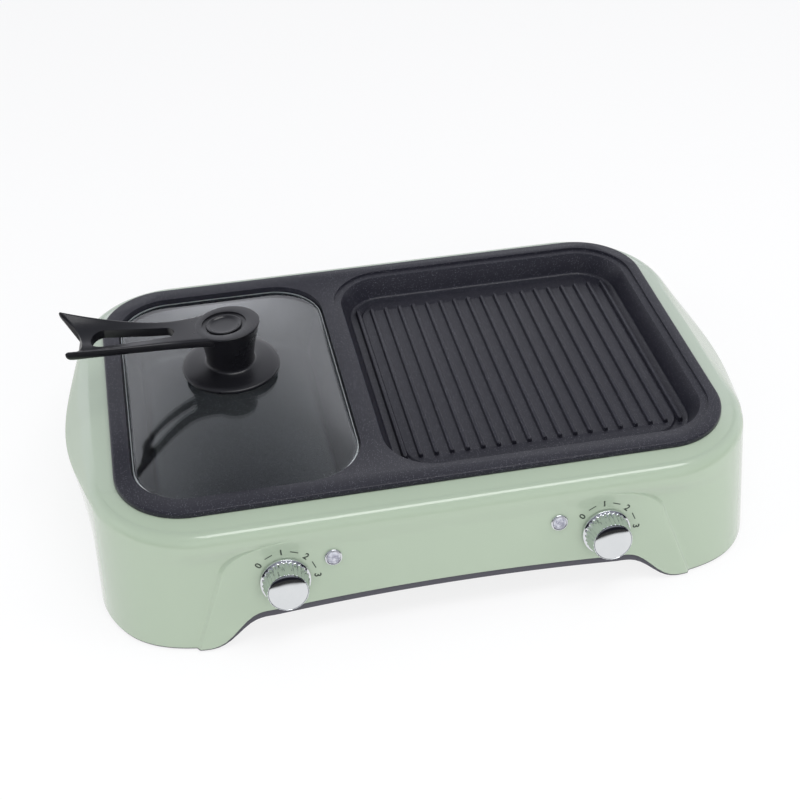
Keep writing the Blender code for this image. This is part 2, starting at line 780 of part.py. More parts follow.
def pot_body():
    ledge = PLATE_TOP - POT_LEDGE_DEPTH
    shoulder = ledge - CAST_WALL
    outer = POT_LEDGE_WIDTH - CAST_WALL
    bottom = POT_FLOOR - POT_FLOOR_THICKNESS
    return [
        (-CAST_WALL, plate_underside() + WELD),
        (-CAST_WALL, shoulder),
        (outer, shoulder - POT_LEDGE_WIDTH),
        (outer + POT_DRAFT, POT_FLOOR + POT_FLOOR_FILLET),
        (outer + POT_DRAFT + POT_FLOOR_FILLET, bottom),
    ]


def grill_cavity():
    ledge = PLATE_TOP - GRILL_LEDGE_DEPTH
    wall = GRILL_LEDGE_WIDTH
    channel = wall + GRILL_DRAFT + GRILL_FLOOR_FILLET
    return [
        (0, PLATE_TOP + OVERRUN),
        (0, ledge),
        (wall, ledge),
        (wall + GRILL_DRAFT, GRILL_FLOOR + GRILL_FLOOR_FILLET),
        (channel, GRILL_FLOOR),
        (channel + GRILL_CHANNEL, GRILL_FLOOR),
        (channel + GRILL_CHANNEL + PLATEAU_SLOPE, GRILL_FLOOR + PLATEAU_HEIGHT),
    ]


def grill_body():
    ledge = PLATE_TOP - GRILL_LEDGE_DEPTH
    outer = GRILL_LEDGE_WIDTH - CAST_WALL
    bottom = GRILL_FLOOR - GRILL_FLOOR_THICKNESS
    return [
        (0, plate_underside() + WELD),
        (outer, ledge - CAST_WALL - GRILL_LEDGE_WIDTH),
        (outer + GRILL_DRAFT, GRILL_FLOOR),
        (outer + GRILL_DRAFT + GRILL_FLOOR_FILLET, bottom),
    ]


def clip_places():
    return [(x, side) for x in (CLIP_DIVIDER_X, CLIP_GRILL_X) for side in (-1, 1)]


def shield_boss_places(x):
    return [(x, -SHIELD_BOSS_Y), (x, SHIELD_BOSS_Y)]


def shield_top(floor_underside):
    return floor_underside - GAP - 2 * TUBE_RADIUS - GAP


def rib_outline(width, half_length, z, x):
    """A long bar with round ends."""
    points = []
    straight = half_length - width / 2
    for end, sign in ((0, 1), (1, -1)):
        for step in range(ROUND_END_STEPS + 1):
            angle = (end + step / ROUND_END_STEPS) * pi
            points.append((x + width / 2 * cos(angle), sign * straight + width / 2 * sin(angle), z))
    return points


def make_plate(frame, finish):
    slab = [
        (0, plate_underside()),
        (0, PLATE_TOP - PLATE_BEVEL),
        (PLATE_BEVEL, PLATE_TOP),
    ]
    sizes = (PLATE_HALF_WIDTH, PLATE_HALF_DEPTH, PLATE_RADIUS)
    plate = place("cooking_plate", loft(well_rings(0, sizes, slab)), finish, frame)
    pot = (POT_HALF_WIDTH, POT_HALF_DEPTH, POT_RADIUS)
    grill = (GRILL_HALF_WIDTH, GRILL_HALF_DEPTH, GRILL_RADIUS)
    join(plate, helper("guide_pot_body", loft(well_rings(POT_X, pot, pot_body())), frame))
    join(plate, helper("guide_grill_body", loft(well_rings(GRILL_X, grill, grill_body())), frame))
    cut(plate, helper("guide_pot_cavity", loft(well_rings(POT_X, pot, pot_cavity())), frame))
    cut(plate, helper("guide_grill_cavity", loft(well_rings(GRILL_X, grill, grill_cavity())), frame))
    ribs = bmesh.new()
    plateau = GRILL_FLOOR + PLATEAU_HEIGHT
    rib_slope = (RIB_WIDTH - RIB_TOP_WIDTH) / 2
    for i in range(RIB_COUNT):
        x = GRILL_X + (i - (RIB_COUNT - 1) / 2) * RIB_PITCH
        loft([
            rib_outline(RIB_WIDTH, RIB_HALF_LENGTH, GRILL_FLOOR - WELD, x),
            rib_outline(RIB_WIDTH, RIB_HALF_LENGTH, plateau, x),
            rib_outline(RIB_TOP_WIDTH, RIB_HALF_LENGTH - rib_slope, plateau + RIB_HEIGHT, x),
        ], builder=ribs)
    join(plate, helper("guide_ribs", ribs, frame))
    bosses = bmesh.new()
    bores = bmesh.new()
    for x, side in clip_places():
        top = plate_underside() if x == CLIP_DIVIDER_X else GRILL_FLOOR - GRILL_FLOOR_THICKNESS
        y = side * CLIP_BOSS_Y
        rod(CLIP_BOSS_RADIUS, CLIP_BOSS_BOTTOM, top + WELD, sides=SCREW_SIDES, x=x, y=y, builder=bosses)
        low = CLIP_BOSS_BOTTOM - OVERRUN
        rod(SMALL_SCREW_RADIUS + GAP, low, clip_bore_top(), sides=SCREW_SIDES, x=x, y=y, builder=bores)
    for x, underside in heater_places():
        for boss_x, boss_y in shield_boss_places(x):
            bottom = shield_top(underside) + GAP
            high = underside + WELD
            rod(SHIELD_BOSS_RADIUS, bottom, high, sides=SCREW_SIDES, x=boss_x, y=boss_y, builder=bosses)
            top = bottom + SMALL_SCREW_LENGTH - 2 * GAP
            low = bottom - OVERRUN
            rod(SMALL_SCREW_RADIUS + GAP, low, top, sides=SCREW_SIDES, x=boss_x, y=boss_y, builder=bores)
    join(plate, helper("guide_plate_bosses", bosses, frame))
    cut(plate, helper("guide_plate_bores", bores, frame))
    return plate


def clip_bore_top():
    return CLIP_BOSS_BOTTOM + SMALL_SCREW_LENGTH - CLIP_STEEL + GAP


def heater_places():
    return [
        (POT_X, POT_FLOOR - POT_FLOOR_THICKNESS),
        (GRILL_X, GRILL_FLOOR - GRILL_FLOOR_THICKNESS),
    ]


def make_clips(frame, steel, screw_finish):
    """Z-bent straps from the plate's bosses out under the housing's ledge."""
    names = ("divider_front", "divider_back", "grill_front", "grill_back")
    seat = CLIP_BOSS_BOTTOM - GAP
    reach = PLATE_HALF_DEPTH + GAP - LEDGE_WIDTH + SHELL_WALL
    top = BAND_HEIGHT - LEDGE_DEPTH - GAP
    screw = (SMALL_SCREW_RADIUS, SMALL_SCREW_LENGTH, SMALL_SCREW_HEAD_RADIUS, SMALL_SCREW_HEAD)
    for (x, side), name in zip(clip_places(), names):
        profile = [
            (CLIP_BOSS_Y - CLIP_TAIL, seat - CLIP_STEEL),
            (reach, seat - CLIP_STEEL),
            (reach, top),
            (reach - CLIP_FOOT, top),
            (reach - CLIP_FOOT, top - CLIP_STEEL),
            (reach - CLIP_STEEL, top - CLIP_STEEL),
            (reach - CLIP_STEEL, seat),
            (CLIP_BOSS_Y - CLIP_TAIL, seat),
        ]
        rings = [[(x + end * CLIP_WIDTH / 2, side * y, z) for y, z in profile] for end in (-1, 1)]
        clip = place(f"{name}_plate_clip", loft(rings), steel, frame)
        y = side * CLIP_BOSS_Y
        low = seat - CLIP_STEEL
        hole = rod(SMALL_SCREW_RADIUS + GAP, low - OVERRUN, seat + OVERRUN, sides=SCREW_SIDES, x=x, y=y)
        cut(clip, helper(f"guide_{name}_clip_hole", hole, frame))
        turned_screw = turned(screw_profile(*screw), SCREW_SIDES)
        place(f"{name}_clip_screw", turned_screw, screw_finish, frame, (x, y, low - GAP))


def heating_loop(half_width, half_depth, radius):
    """Centre line of an element: a rounded loop, open in front, with two legs turned in."""
    points = []
    turn = LOOP_MOUTH_RADIUS
    mouth = LOOP_MOUTH / 2
    for step in range(ROUND_END_STEPS + 1):
        angle = step / ROUND_END_STEPS * pi / 2
        points.append((mouth + turn * (1 - cos(angle)), -half_depth + turn * (1 - sin(angle))))
    points[0:0] = [(mouth, -half_depth + turn + LOOP_LEG)]
    for centre_y, start in ((-half_depth + radius, -pi / 2), (half_depth - radius, 0)):
        for step in range(LOOP_STEPS + 1):
            angle = start + step / LOOP_STEPS * pi / 2
            points.append((half_width - radius + radius * cos(angle), centre_y + radius * sin(angle)))
    return points + [(-x, y) for x, y in reversed(points)]


def make_element(name, path, x, height, frame, finish):
    curve = bpy.data.curves.new(name, "CURVE")
    curve.dimensions = "3D"
    curve.bevel_depth = TUBE_RADIUS
    curve.bevel_resolution = TUBE_RESOLUTION
    curve.use_fill_caps = True
    spline = curve.splines.new("POLY")
    spline.points.add(len(path) - 1)
    for point, (px, py) in zip(spline.points, path):
        point.co = (px, py, 0, 1)
    curve.materials.append(finish)
    made = bpy.data.objects.new(name, curve)
    bpy.context.collection.objects.link(made)
    made.parent = frame
    made.location = (x, 0, height)
    return made


def make_heaters(frame, finishes):
    """Elements, shields and cutouts under the pot and under the grill."""
    loops = {
        "pot": (POT_HALF_WIDTH - POT_LOOP_INSET_X, POT_HALF_DEPTH - POT_LOOP_INSET_Y, POT_LOOP_RADIUS),
        "grill": (
            GRILL_HALF_WIDTH - GRILL_LOOP_INSET_X, GRILL_HALF_DEPTH - GRILL_LOOP_INSET_Y, GRILL_LOOP_RADIUS),
    }
    shields = {
        "pot": (
            POT_HALF_WIDTH - POT_SHIELD_INSET_X, POT_HALF_DEPTH - POT_SHIELD_INSET_Y, POT_SHIELD_RADIUS),
        "grill": (
            GRILL_HALF_WIDTH - GRILL_SHIELD_INSET_X,
            GRILL_HALF_DEPTH - GRILL_SHIELD_INSET_Y,
            GRILL_SHIELD_RADIUS,
        ),
    }
    rims = {"pot": SHIELD_RIM, "grill": GRILL_FLOOR_THICKNESS}
    for (name, loop), (x, underside) in zip(loops.items(), heater_places()):
        height = underside - GAP - TUBE_RADIUS
        make_element(f"{name}_heating_element", heating_loop(*loop), x, height, frame, finishes["sheath"])
        top = shield_top(underside)
        low = top - SHIELD_STEEL
        pan = loft(well_rings(x, shields[name], [
            (0, low),
            (-SHIELD_STEEL, top + rims[name]),
            (0, top + rims[name]),
            (SHIELD_STEEL, top),
        ]))
        shield = place(f"{name}_heat_shield", pan, finishes["steel"], frame)
        holes = bmesh.new()
        hole = SMALL_SCREW_RADIUS + GAP
        length = SMALL_SCREW_LENGTH - 2 * GAP
        profile = screw_profile(SMALL_SCREW_RADIUS, length, SMALL_SCREW_HEAD_RADIUS, SMALL_SCREW_HEAD)
        for end, (at_x, at_y) in zip(("front", "back"), shield_boss_places(x)):
            rod(hole, low - OVERRUN, top + OVERRUN, sides=SCREW_SIDES, x=at_x, y=at_y, builder=holes)
            screw = turned(profile, SCREW_SIDES)
            place(f"{name}_{end}_shield_screw", screw, finishes["screw"], frame, (at_x, at_y, low - GAP))
        cut(shield, helper(f"guide_{name}_shield_holes", holes, frame))
        height = underside - GAP - (top + GAP)
        cutout = turned([
            (0, 0),
            (CUTOUT_FLANGE_RADIUS, 0),
            (CUTOUT_FLANGE_RADIUS, CUTOUT_FLANGE),
            (CUTOUT_RADIUS, CUTOUT_FLANGE),
            (CUTOUT_RADIUS, height),
            (0, height),
        ], HOLE_SIDES)
        place(f"{name}_thermal_cutout", cutout, finishes["cutout"], frame, (x, 0, top + GAP))


# Controls

def fluted_ring(radius, z, sides, depth):
    """A ring whose every other point is drawn in."""
    points = []
    for i in range(sides * 2):
        angle = pi * i / sides
        reach = radius - (depth if i % 2 else 0)
        points.append((reach * cos(angle), reach * sin(angle), z))
    return points


def make_knob(side, axis, finishes):
    """Barrel, polished cap and D-shaft, all turned about the axis empty's Z."""
    front = KNOB_LENGTH
    shoulder = KNOB_AIR + KNOB_FLANGE
    barrel = loft([
        fluted_ring(KNOB_FLANGE_RADIUS, KNOB_AIR, KNOB_FLUTES, 0),
        fluted_ring(KNOB_FLANGE_RADIUS, shoulder, KNOB_FLUTES, 0),
        fluted_ring(KNOB_BARREL_RADIUS, shoulder + KNOB_FLUTE_DEPTH, KNOB_FLUTES, KNOB_FLUTE_DEPTH),
        fluted_ring(KNOB_TIP_RADIUS, front, KNOB_FLUTES, KNOB_FLUTE_DEPTH),
    ])
    knob = place(f"{side}_knob_barrel", barrel, finishes["chrome"], axis)
    sleeve = SHAFT_RADIUS + SHAFT_FIT + SLEEVE_WALL
    web = front - KNOB_CAP_SEAT - KNOB_WALL
    inner = KNOB_TIP_RADIUS - KNOB_FLUTE_DEPTH - KNOB_WALL
    pocket = turned([
        (sleeve, KNOB_AIR - OVERRUN),
        (KNOB_BARREL_RADIUS - KNOB_FLUTE_DEPTH - KNOB_WALL, KNOB_AIR - OVERRUN),
        (inner, web),
        (sleeve, web),
    ], KNOB_POCKET_SIDES)
    cut(knob, helper(f"guide_{side}_knob_pocket", pocket, axis))
    mouth = rod(sleeve + OVERRUN, KNOB_AIR - OVERRUN, BUSH_LENGTH + 2 * GAP)
    cut(knob, helper(f"guide_{side}_knob_mouth", mouth, axis))
    seat = rod(KNOB_CAP_RADIUS + GAP, front - KNOB_CAP_SEAT, front + OVERRUN, sides=KNOB_TURN_SIDES)
    cut(knob, helper(f"guide_{side}_cap_seat", seat, axis))
    bore = rod(SHAFT_RADIUS + SHAFT_FIT, KNOB_AIR - OVERRUN, web + GAP)
    cut(knob, helper(f"guide_{side}_knob_bore", bore, axis))
    low = front - KNOB_CAP_SEAT + GAP
    cap = turned([
        (0, low),
        (KNOB_CAP_RADIUS, low),
        (KNOB_CAP_RADIUS, front),
        (KNOB_CAP_RADIUS - KNOB_CAP_THICKNESS, front + KNOB_CAP_RISE * MIDDLE),
        (KNOB_CAP_RADIUS * MIDDLE, front + KNOB_CAP_RISE),
        (0, front + KNOB_CAP_RISE),
    ], KNOB_TURN_SIDES)
    place(f"{side}_knob_cap", cap, finishes["polish"], axis)
    shaft = rod(SHAFT_RADIUS, -SHAFT_DEPTH, web)
    pin = place(f"{side}_switch_shaft", shaft, finishes["brass"], axis)
    flat = box(SHAFT_RADIUS, SHAFT_RADIUS, BUSH_LENGTH + GAP, web + OVERRUN, y=2 * SHAFT_RADIUS - SHAFT_FLAT)
    cut(pin, helper(f"guide_{side}_shaft_flat", flat, axis))


def make_switch(side, axis, finishes):
    """Body behind the wall with a threaded bush through it, and the nut in front."""
    back = -SHELL_WALL - GAP
    size = SWITCH_HALF_SIZE
    block = loft([
        rounded_rectangle(size, size, SWITCH_CHAMFER, back - SWITCH_DEPTH, steps=2),
        rounded_rectangle(size, size, SWITCH_CHAMFER, back, steps=2),
    ])
    body = place(f"{side}_switch_body", block, finishes["switch"], axis)
    bush = rod(BUSH_RADIUS, back - WELD, BUSH_LENGTH)
    join(body, helper(f"guide_{side}_bush", bush, axis))
    bore = rod(SHAFT_RADIUS + SHAFT_FIT, -SHAFT_DEPTH - GAP, BUSH_LENGTH + OVERRUN)
    cut(body, helper(f"guide_{side}_switch_bore", bore, axis))
    nut = turned([
        (BUSH_RADIUS + GAP, GAP),
        (NUT_RADIUS, GAP),
        (NUT_RADIUS, GAP + NUT_THICKNESS),
        (BUSH_RADIUS + GAP, GAP + NUT_THICKNESS),
    ], NUT_SIDES)
    place(f"{side}_switch_nut", nut, finishes["steel"], axis)


def make_lamp(side, axis, finishes):
    """A bright bezel pushed through the wall and a domed lens in it."""
    bezel = turned([
        (LAMP_BARREL_RADIUS - LAMP_WALL, -LAMP_BARREL),
        (LAMP_BARREL_RADIUS, -LAMP_BARREL),
        (LAMP_BARREL_RADIUS, GAP),
        (LAMP_RADIUS, GAP),
        (LAMP_RADIUS, GAP + LAMP_FLANGE * MIDDLE),
        (LAMP_RADIUS - LAMP_RIM * MIDDLE, GAP + LAMP_FLANGE),
        (LAMP_BARREL_RADIUS - LAMP_WALL, GAP + LAMP_FLANGE),
    ], LAMP_SIDES)
    place(f"{side}_lamp_bezel", bezel, finishes["chrome"], axis)
    radius = LAMP_BARREL_RADIUS - LAMP_WALL - GAP
    lens = turned([
        (0, -LAMP_BARREL),
        (radius, -LAMP_BARREL),
        (radius, GAP + LAMP_FLANGE * MIDDLE),
        (radius * MIDDLE, LAMP_FLANGE + LAMP_DOME),
        (0, LAMP_FLANGE + LAMP_DOME),
    ], LAMP_SIDES)
    place(f"{side}_lamp_lens", lens, finishes["lens"], axis)


def make_controls(frame, housing, finishes):
    for side, sign in (("left", -1), ("right", 1)):
        axis = front_wall_empty(f"{side}_knob_axis", frame, sign * KNOB_X, KNOB_HEIGHT, -1)
        hole = rod(BUSH_RADIUS + GAP, -SHELL_WALL - OVERRUN, OVERRUN)
        cut(housing, helper(f"guide_{side}_bush_hole", hole, axis))
        make_switch(side, axis, finishes)
        make_knob(side, axis, finishes)
        axis = front_wall_empty(f"{side}_lamp_axis", frame, sign * LAMP_X, LAMP_HEIGHT, -1)
        hole = rod(LAMP_BARREL_RADIUS + GAP, -SHELL_WALL - OVERRUN, OVERRUN)
        cut(housing, helper(f"guide_{side}_lamp_hole", hole, axis))
        make_lamp(side, axis, finishes)


def make_inlet(frame, housing, finishes):
    """A recessed three-pin socket with a flange that is screwed to the back wall."""
    axis = front_wall_empty("inlet_axis", frame, INLET_X, INLET_HEIGHT, 1)
    outer = (INLET_HALF_WIDTH + INLET_WALL, INLET_HALF_HEIGHT + INLET_WALL, INLET_CORNER + INLET_WALL)
    plain = rounded_rectangle(outer[0] + GAP, outer[1] + GAP, outer[2] + GAP, 0, steps=2)
    window = loft([[(x, y, z) for x, y, _ in plain] for z in (-SHELL_WALL - OVERRUN, OVERRUN)])
    cut(housing, helper("guide_inlet_window", window, axis))
    flange = loft([
        rounded_rectangle(INLET_FLANGE_HALF_WIDTH, INLET_FLANGE_HALF_HEIGHT, INLET_FLANGE_RADIUS, z, steps=4)
        for z in (GAP, GAP + INLET_FLANGE)
    ])
    socket = place("inlet_socket", flange, finishes["switch"], axis)
    depth = INLET_DEPTH + INLET_WALL
    tub = loft([rounded_rectangle(*outer, z, steps=2) for z in (-depth, GAP + WELD)])
    join(socket, helper("guide_inlet_tub", tub, axis))
    inner = (INLET_HALF_WIDTH, INLET_HALF_HEIGHT, INLET_CORNER)
    mouth = GAP + INLET_FLANGE + OVERRUN
    cavity = loft([rounded_rectangle(*inner, z, steps=2) for z in (-INLET_DEPTH, mouth)])
    cut(socket, helper("guide_inlet_cavity", cavity, axis))
    holes = bmesh.new()
    wall_holes = bmesh.new()
    for sign in (-1, 1):
        x = sign * INLET_SCREW_X
        face = GAP + INLET_FLANGE
        bore = SMALL_SCREW_RADIUS + GAP
        rod(bore, -OVERRUN, face + OVERRUN, sides=SCREW_SIDES, x=x, builder=holes)
        rod(bore, -SHELL_WALL - OVERRUN, OVERRUN, sides=SCREW_SIDES, x=x, builder=wall_holes)
    pins = (
        ("live", PIN_SPACING, -LIVE_PIN_DROP),
        ("neutral", -PIN_SPACING, -LIVE_PIN_DROP),
        ("earth", 0, EARTH_PIN_RISE),
    )
    slot = (PIN_HALF_WIDTH + GAP, PIN_HALF_HEIGHT + GAP)
    for name, x, y in pins:
        box(*slot, -depth - OVERRUN, -INLET_DEPTH + OVERRUN, x=x, y=y, builder=holes)
        pin = box(PIN_HALF_WIDTH, PIN_HALF_HEIGHT, -depth - PIN_LENGTH + PIN_STAND, -INLET_DEPTH + PIN_STAND)
        place(f"inlet_{name}_pin", pin, finishes["brass"], axis, (x, y, 0))
    cut(socket, helper("guide_inlet_holes", holes, axis))
    cut(housing, helper("guide_inlet_screw_holes", wall_holes, axis))
    profile = screw_profile(SMALL_SCREW_RADIUS, SMALL_SCREW_LENGTH, SMALL_SCREW_HEAD_RADIUS, SMALL_SCREW_HEAD)
    top = GAP + INLET_FLANGE + GAP
    for side, sign in (("left", 1), ("right", -1)):
        turned_over = [(radius, -z) for radius, z in profile]
        screw = turned(turned_over, SCREW_SIDES)
        place(f"inlet_{side}_screw", screw, finishes["screw"], axis, (sign * INLET_SCREW_X, 0, top))


# Lid

def dome_rise(share):
    """Rise of the glass where an outline has shrunk to a share of the lid's size."""
    return LID_DOME * (1 - share ** LID_DOME_POWER)


def make_glass(seat, finish):
    """The glass, its underside and top one dome apart. The seat empty is on the ledge."""
    half_width = POT_HALF_WIDTH - LID_PLAY
    half_depth = POT_HALF_DEPTH - LID_PLAY
    radius = POT_RADIUS - LID_PLAY
    levels = [(share, GAP) for share in reversed(GLASS_RING_SHARES)]
    levels += [(share, GAP + GLASS_THICKNESS) for share in GLASS_RING_SHARES]
    rings = []
    for share, low in levels:
        outline = (half_width * share, half_depth * share, radius * share)
        rings.append(rounded_rectangle(*outline, low + dome_rise(share)))
    glass = place("lid_glass", loft(rings), finish, seat)
    hole = rod(LID_HOLE_RADIUS, LID_DOME - OVERRUN, LID_DOME + GLASS_THICKNESS + 2 * OVERRUN)
    cut(glass, helper("guide_lid_hole", hole, seat))
    return glass


def arm_half_width(reach):
    """Half width of the forked arm: it narrows from the hub to a waist, then flares to the tips."""
    if reach < ARM_WAIST_AT:
        share = (ARM_WAIST_AT - reach) / (ARM_WAIST_AT - ARM_ROOT_AT)
        return mix(ARM_WAIST_HALF, ARM_ROOT_HALF, share ** ARM_FLARE)
    share = min((reach - ARM_WAIST_AT) / (ARM_LENGTH - ARM_WAIST_AT), 1)
    return mix(ARM_WAIST_HALF, ARM_HALF_TIP, share ** ARM_FLARE)


def arm_rise(reach, across):
    """The arm's edges curl up towards the tips."""
    along = max(0, (reach - ARM_RISE_START) / (ARM_LENGTH - ARM_RISE_START))
    return ARM_RISE * (along * abs(across)) ** ARM_CURL


def make_arm(top):
    """The arm as strips along its length, with the tail hollowed between the tips."""
    rings = []
    for i in range(ARM_STEPS + 1):
        base = mix(ARM_ROOT_AT, ARM_LENGTH, i / ARM_STEPS)
        half = arm_half_width(base)
        centre = base - ARM_TIP_HOLLOW * smoothstep(MIDDLE, 1, i / ARM_STEPS)
        upper = []
        for share in ARM_ACROSS_SHARES:
            reach = mix(centre, base, share * share)
            upper.append((-reach, share * half, top + arm_rise(reach, share)))
        lower = [(x, y, z - ARM_THICKNESS) for x, y, z in reversed(upper)]
        rings.append(upper + lower)
    return loft(rings)


def arm_slot(top):
    """The slot between the bars, wider and rounder towards the tail."""
    points = []
    ends = ((-pi / 2, ARM_SLOT_START, ARM_SLOT_HALF_START), (pi / 2, ARM_SLOT_END, ARM_SLOT_HALF_END))
    for start, centre, half in ends:
        inward = half if centre == ARM_SLOT_START else -half
        for step in range(SLOT_END_STEPS + 1):
            angle = start + step / SLOT_END_STEPS * pi
            points.append((-(centre + inward) + half * cos(angle), half * sin(angle)))
    low = top - ARM_THICKNESS - OVERRUN
    high = top + ARM_RISE + OVERRUN
    return loft([[(x, y, z) for x, y in points] for z in (low, high)])


def make_handle(seat, finishes):
    """Flange, hub and forked arm in one moulding, held by one screw from below."""
    glass_top = GAP + LID_DOME + GLASS_THICKNESS
    gasket_low = glass_top + GAP
    hub_low = gasket_low + GASKET_THICKNESS + GAP
    edge_low = glass_top + 2 * GAP
    edge_top = edge_low + FLANGE_EDGE
    top = edge_low + FLANGE_EDGE + FLANGE_RISE + HUB_HEIGHT
    under = top - HUB_TOP_THICKNESS
    foot = edge_top + FLANGE_RISE
    curve = [
        (mix(HUB_FOOT_RADIUS, HUB_WAIST_RADIUS, inward), mix(foot, under, up))
        for up, inward in HUB_CURVE_SHARES
    ]
    neck_up, neck_out = HUB_NECK_SHARES
    profile = [
        (0, hub_low),
        (GASKET_RADIUS + 2 * GAP, hub_low),
        (GASKET_RADIUS + 2 * GAP + HUB_BEVEL, edge_low),
        (FLANGE_RADIUS, edge_low),
        (FLANGE_RADIUS, edge_top - HUB_BEVEL),
        (FLANGE_RADIUS - HUB_BEVEL, edge_top),
        (HUB_FOOT_RADIUS, foot),
        *curve,
        (mix(HUB_WAIST_RADIUS, HUB_NECK_RADIUS, neck_out), mix(foot, under, neck_up)),
        (HUB_NECK_RADIUS, under),
        (HUB_TOP_RADIUS - HUB_BEVEL, under + HUB_BEVEL),
        (HUB_TOP_RADIUS, under + 2 * HUB_BEVEL),
        (HUB_TOP_RADIUS, top - HUB_BEVEL),
        (HUB_TOP_RADIUS - HUB_BEVEL, top),
        (0, top),
    ]
    handle = place("lid_handle", turned(profile, HUB_SIDES), finishes["handle"], seat)
    arm_top = top - ARM_DROP
    join(handle, helper("guide_arm", make_arm(arm_top), seat))
    cut(handle, helper("guide_arm_slot", arm_slot(arm_top), seat))
    pocket_top = top + OVERRUN
    cap_place = (-HANDLE_CAP_SHIFT, 0, 0)
    cap_top = top - HUB_RING_DEPTH
    pocket_low = cap_top - HANDLE_CAP_THICKNESS
    ring = turned([
        (0, cap_top),
        (HUB_RING_RADIUS - HUB_BEVEL, cap_top),
        (HUB_RING_RADIUS, top),
        (HUB_RING_RADIUS, pocket_top),
        (0, pocket_top),
    ], HUB_SIDES)
    cut(handle, helper("guide_hub_ring", ring, seat, cap_place))
    pocket = rod(HANDLE_CAP_RADIUS + GAP, pocket_low, pocket_top)
    cut(handle, helper("guide_cap_pocket", pocket, seat, cap_place))
    seat_level = hub_low + HUB_SEAT_THICKNESS
    hollow = turned([
        (0, seat_level),
        (LID_NUT_RADIUS + GAP, seat_level),
        (LID_NUT_RADIUS + GAP, seat_level + LID_NUT_THICKNESS + WELD),
        (HUB_BORE_RADIUS, seat_level + LID_NUT_THICKNESS + 2 * WELD),
        (HUB_BORE_RADIUS, pocket_low + WELD),
        (0, pocket_low + WELD),
    ], HOLE_SIDES)
    cut(handle, helper("guide_hub_hollow", hollow, seat))
    shank = rod(LID_SHANK_RADIUS + GAP, hub_low - OVERRUN, seat_level + OVERRUN)
    cut(handle, helper("guide_hub_bore", shank, seat))
    cap_low = pocket_low + GAP
    cap = turned([
        (0, cap_low),
        (HANDLE_CAP_RADIUS, cap_low),
        (HANDLE_CAP_RADIUS, cap_top),
        (HANDLE_CAP_RADIUS - HUB_BEVEL, cap_top + HANDLE_CAP_DISH),
        (HANDLE_CAP_RADIUS - 2 * HUB_BEVEL, cap_top + HANDLE_CAP_DISH),
        (HANDLE_CAP_RADIUS * MIDDLE, cap_top),
        (0, cap_top),
    ], HOLE_SIDES)
    place("lid_handle_cap", cap, finishes["handle"], seat, cap_place)
    gasket = turned([
        (LID_SHANK_RADIUS + GAP, gasket_low),
        (GASKET_RADIUS, gasket_low),
        (GASKET_RADIUS, gasket_low + GASKET_THICKNESS),
        (LID_SHANK_RADIUS + GAP, gasket_low + GASKET_THICKNESS),
    ], HOLE_SIDES)
    place("lid_gasket", gasket, finishes["silicone"], seat)
    washer_top = LID_DOME
    washer = turned([
        (LID_SHANK_RADIUS + GAP, washer_top - LID_WASHER_THICKNESS),
        (LID_WASHER_RADIUS, washer_top - LID_WASHER_THICKNESS),
        (LID_WASHER_RADIUS, washer_top),
        (LID_SHANK_RADIUS + GAP, washer_top),
    ], HOLE_SIDES)
    place("lid_washer", washer, finishes["steel"], seat)
    head_top = washer_top - LID_WASHER_THICKNESS - GAP
    nut = turned([
        (LID_SHANK_RADIUS + GAP, seat_level + GAP),
        (LID_NUT_RADIUS, seat_level + GAP),
        (LID_NUT_RADIUS, seat_level + GAP + LID_NUT_THICKNESS),
        (LID_SHANK_RADIUS + GAP, seat_level + GAP + LID_NUT_THICKNESS),
    ], NUT_SIDES)
    place("lid_nut", nut, finishes["steel"], seat)
    length = seat_level + LID_NUT_THICKNESS + WELD - head_top
    profile = screw_profile(LID_SHANK_RADIUS, length, LID_HEAD_RADIUS, LID_HEAD_THICKNESS)
    place("lid_screw", turned(profile, HOLE_SIDES), finishes["screw"], seat, (0, 0, head_top))


def main():
    clear_scene()
    frame = empty("housing_centre", None, (0, ORIGIN_TO_HOUSING, 0))
    sage = material("sage_green_gloss", (0.44, 0.55, 0.38), 0.22)
    black = material("black_base_plastic", (0.030, 0.030, 0.032), 0.45)
    rubber = material("grey_rubber", (0.05, 0.05, 0.05), 0.80)
    nonstick = material("charcoal_nonstick", (0.035, 0.033, 0.042), 0.42)
    finishes = {
        "steel": material("galvanised_steel", (0.50, 0.50, 0.50), 0.38, metallic=1.0),
        "screw": material("zinc_screw", (0.55, 0.55, 0.56), 0.32, metallic=1.0),
        "sheath": material("element_sheath", (0.22, 0.22, 0.23), 0.50, metallic=1.0),
        "cutout": material("cutout_body", (0.55, 0.55, 0.52), 0.45, metallic=0.8),
        "chrome": material("chrome_plating", (0.78, 0.79, 0.80), 0.12, metallic=1.0),
        "polish": material("polished_chrome", (0.86, 0.87, 0.88), 0.05, metallic=1.0),
        "brass": material("nickel_brass", (0.60, 0.52, 0.34), 0.30, metallic=1.0),
        "switch": material("black_phenolic", (0.02, 0.02, 0.02), 0.50),
        "lens": material("clear_lens", (0.62, 0.62, 0.66), 0.15),
        "handle": material("matte_black_nylon", (0.018, 0.018, 0.020), 0.42),
        "silicone": material("dark_silicone", (0.04, 0.04, 0.04), 0.70),
    }
    glass = material("clear_glass", (0.85, 0.90, 0.90), 0.03, alpha=0.35)
    housing = make_housing(frame, sage)
    make_base(frame, black)
    make_feet(frame, rubber)
    make_base_screws(frame, finishes["screw"])
    make_plate(frame, nonstick)
    make_clips(frame, finishes["steel"], finishes["screw"])
    make_heaters(frame, finishes)
    make_controls(frame, housing, finishes)
    make_inlet(frame, housing, finishes)
    seat = empty("lid_seat", frame, (POT_X, 0, PLATE_TOP - POT_LEDGE_DEPTH))
    make_glass(seat, glass)
    make_handle(seat, finishes)


main()
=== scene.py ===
from math import asin, atan2, cos, pi, radians, sin, sqrt

import bmesh
import bpy
from mathutils import Euler, Matrix, Vector


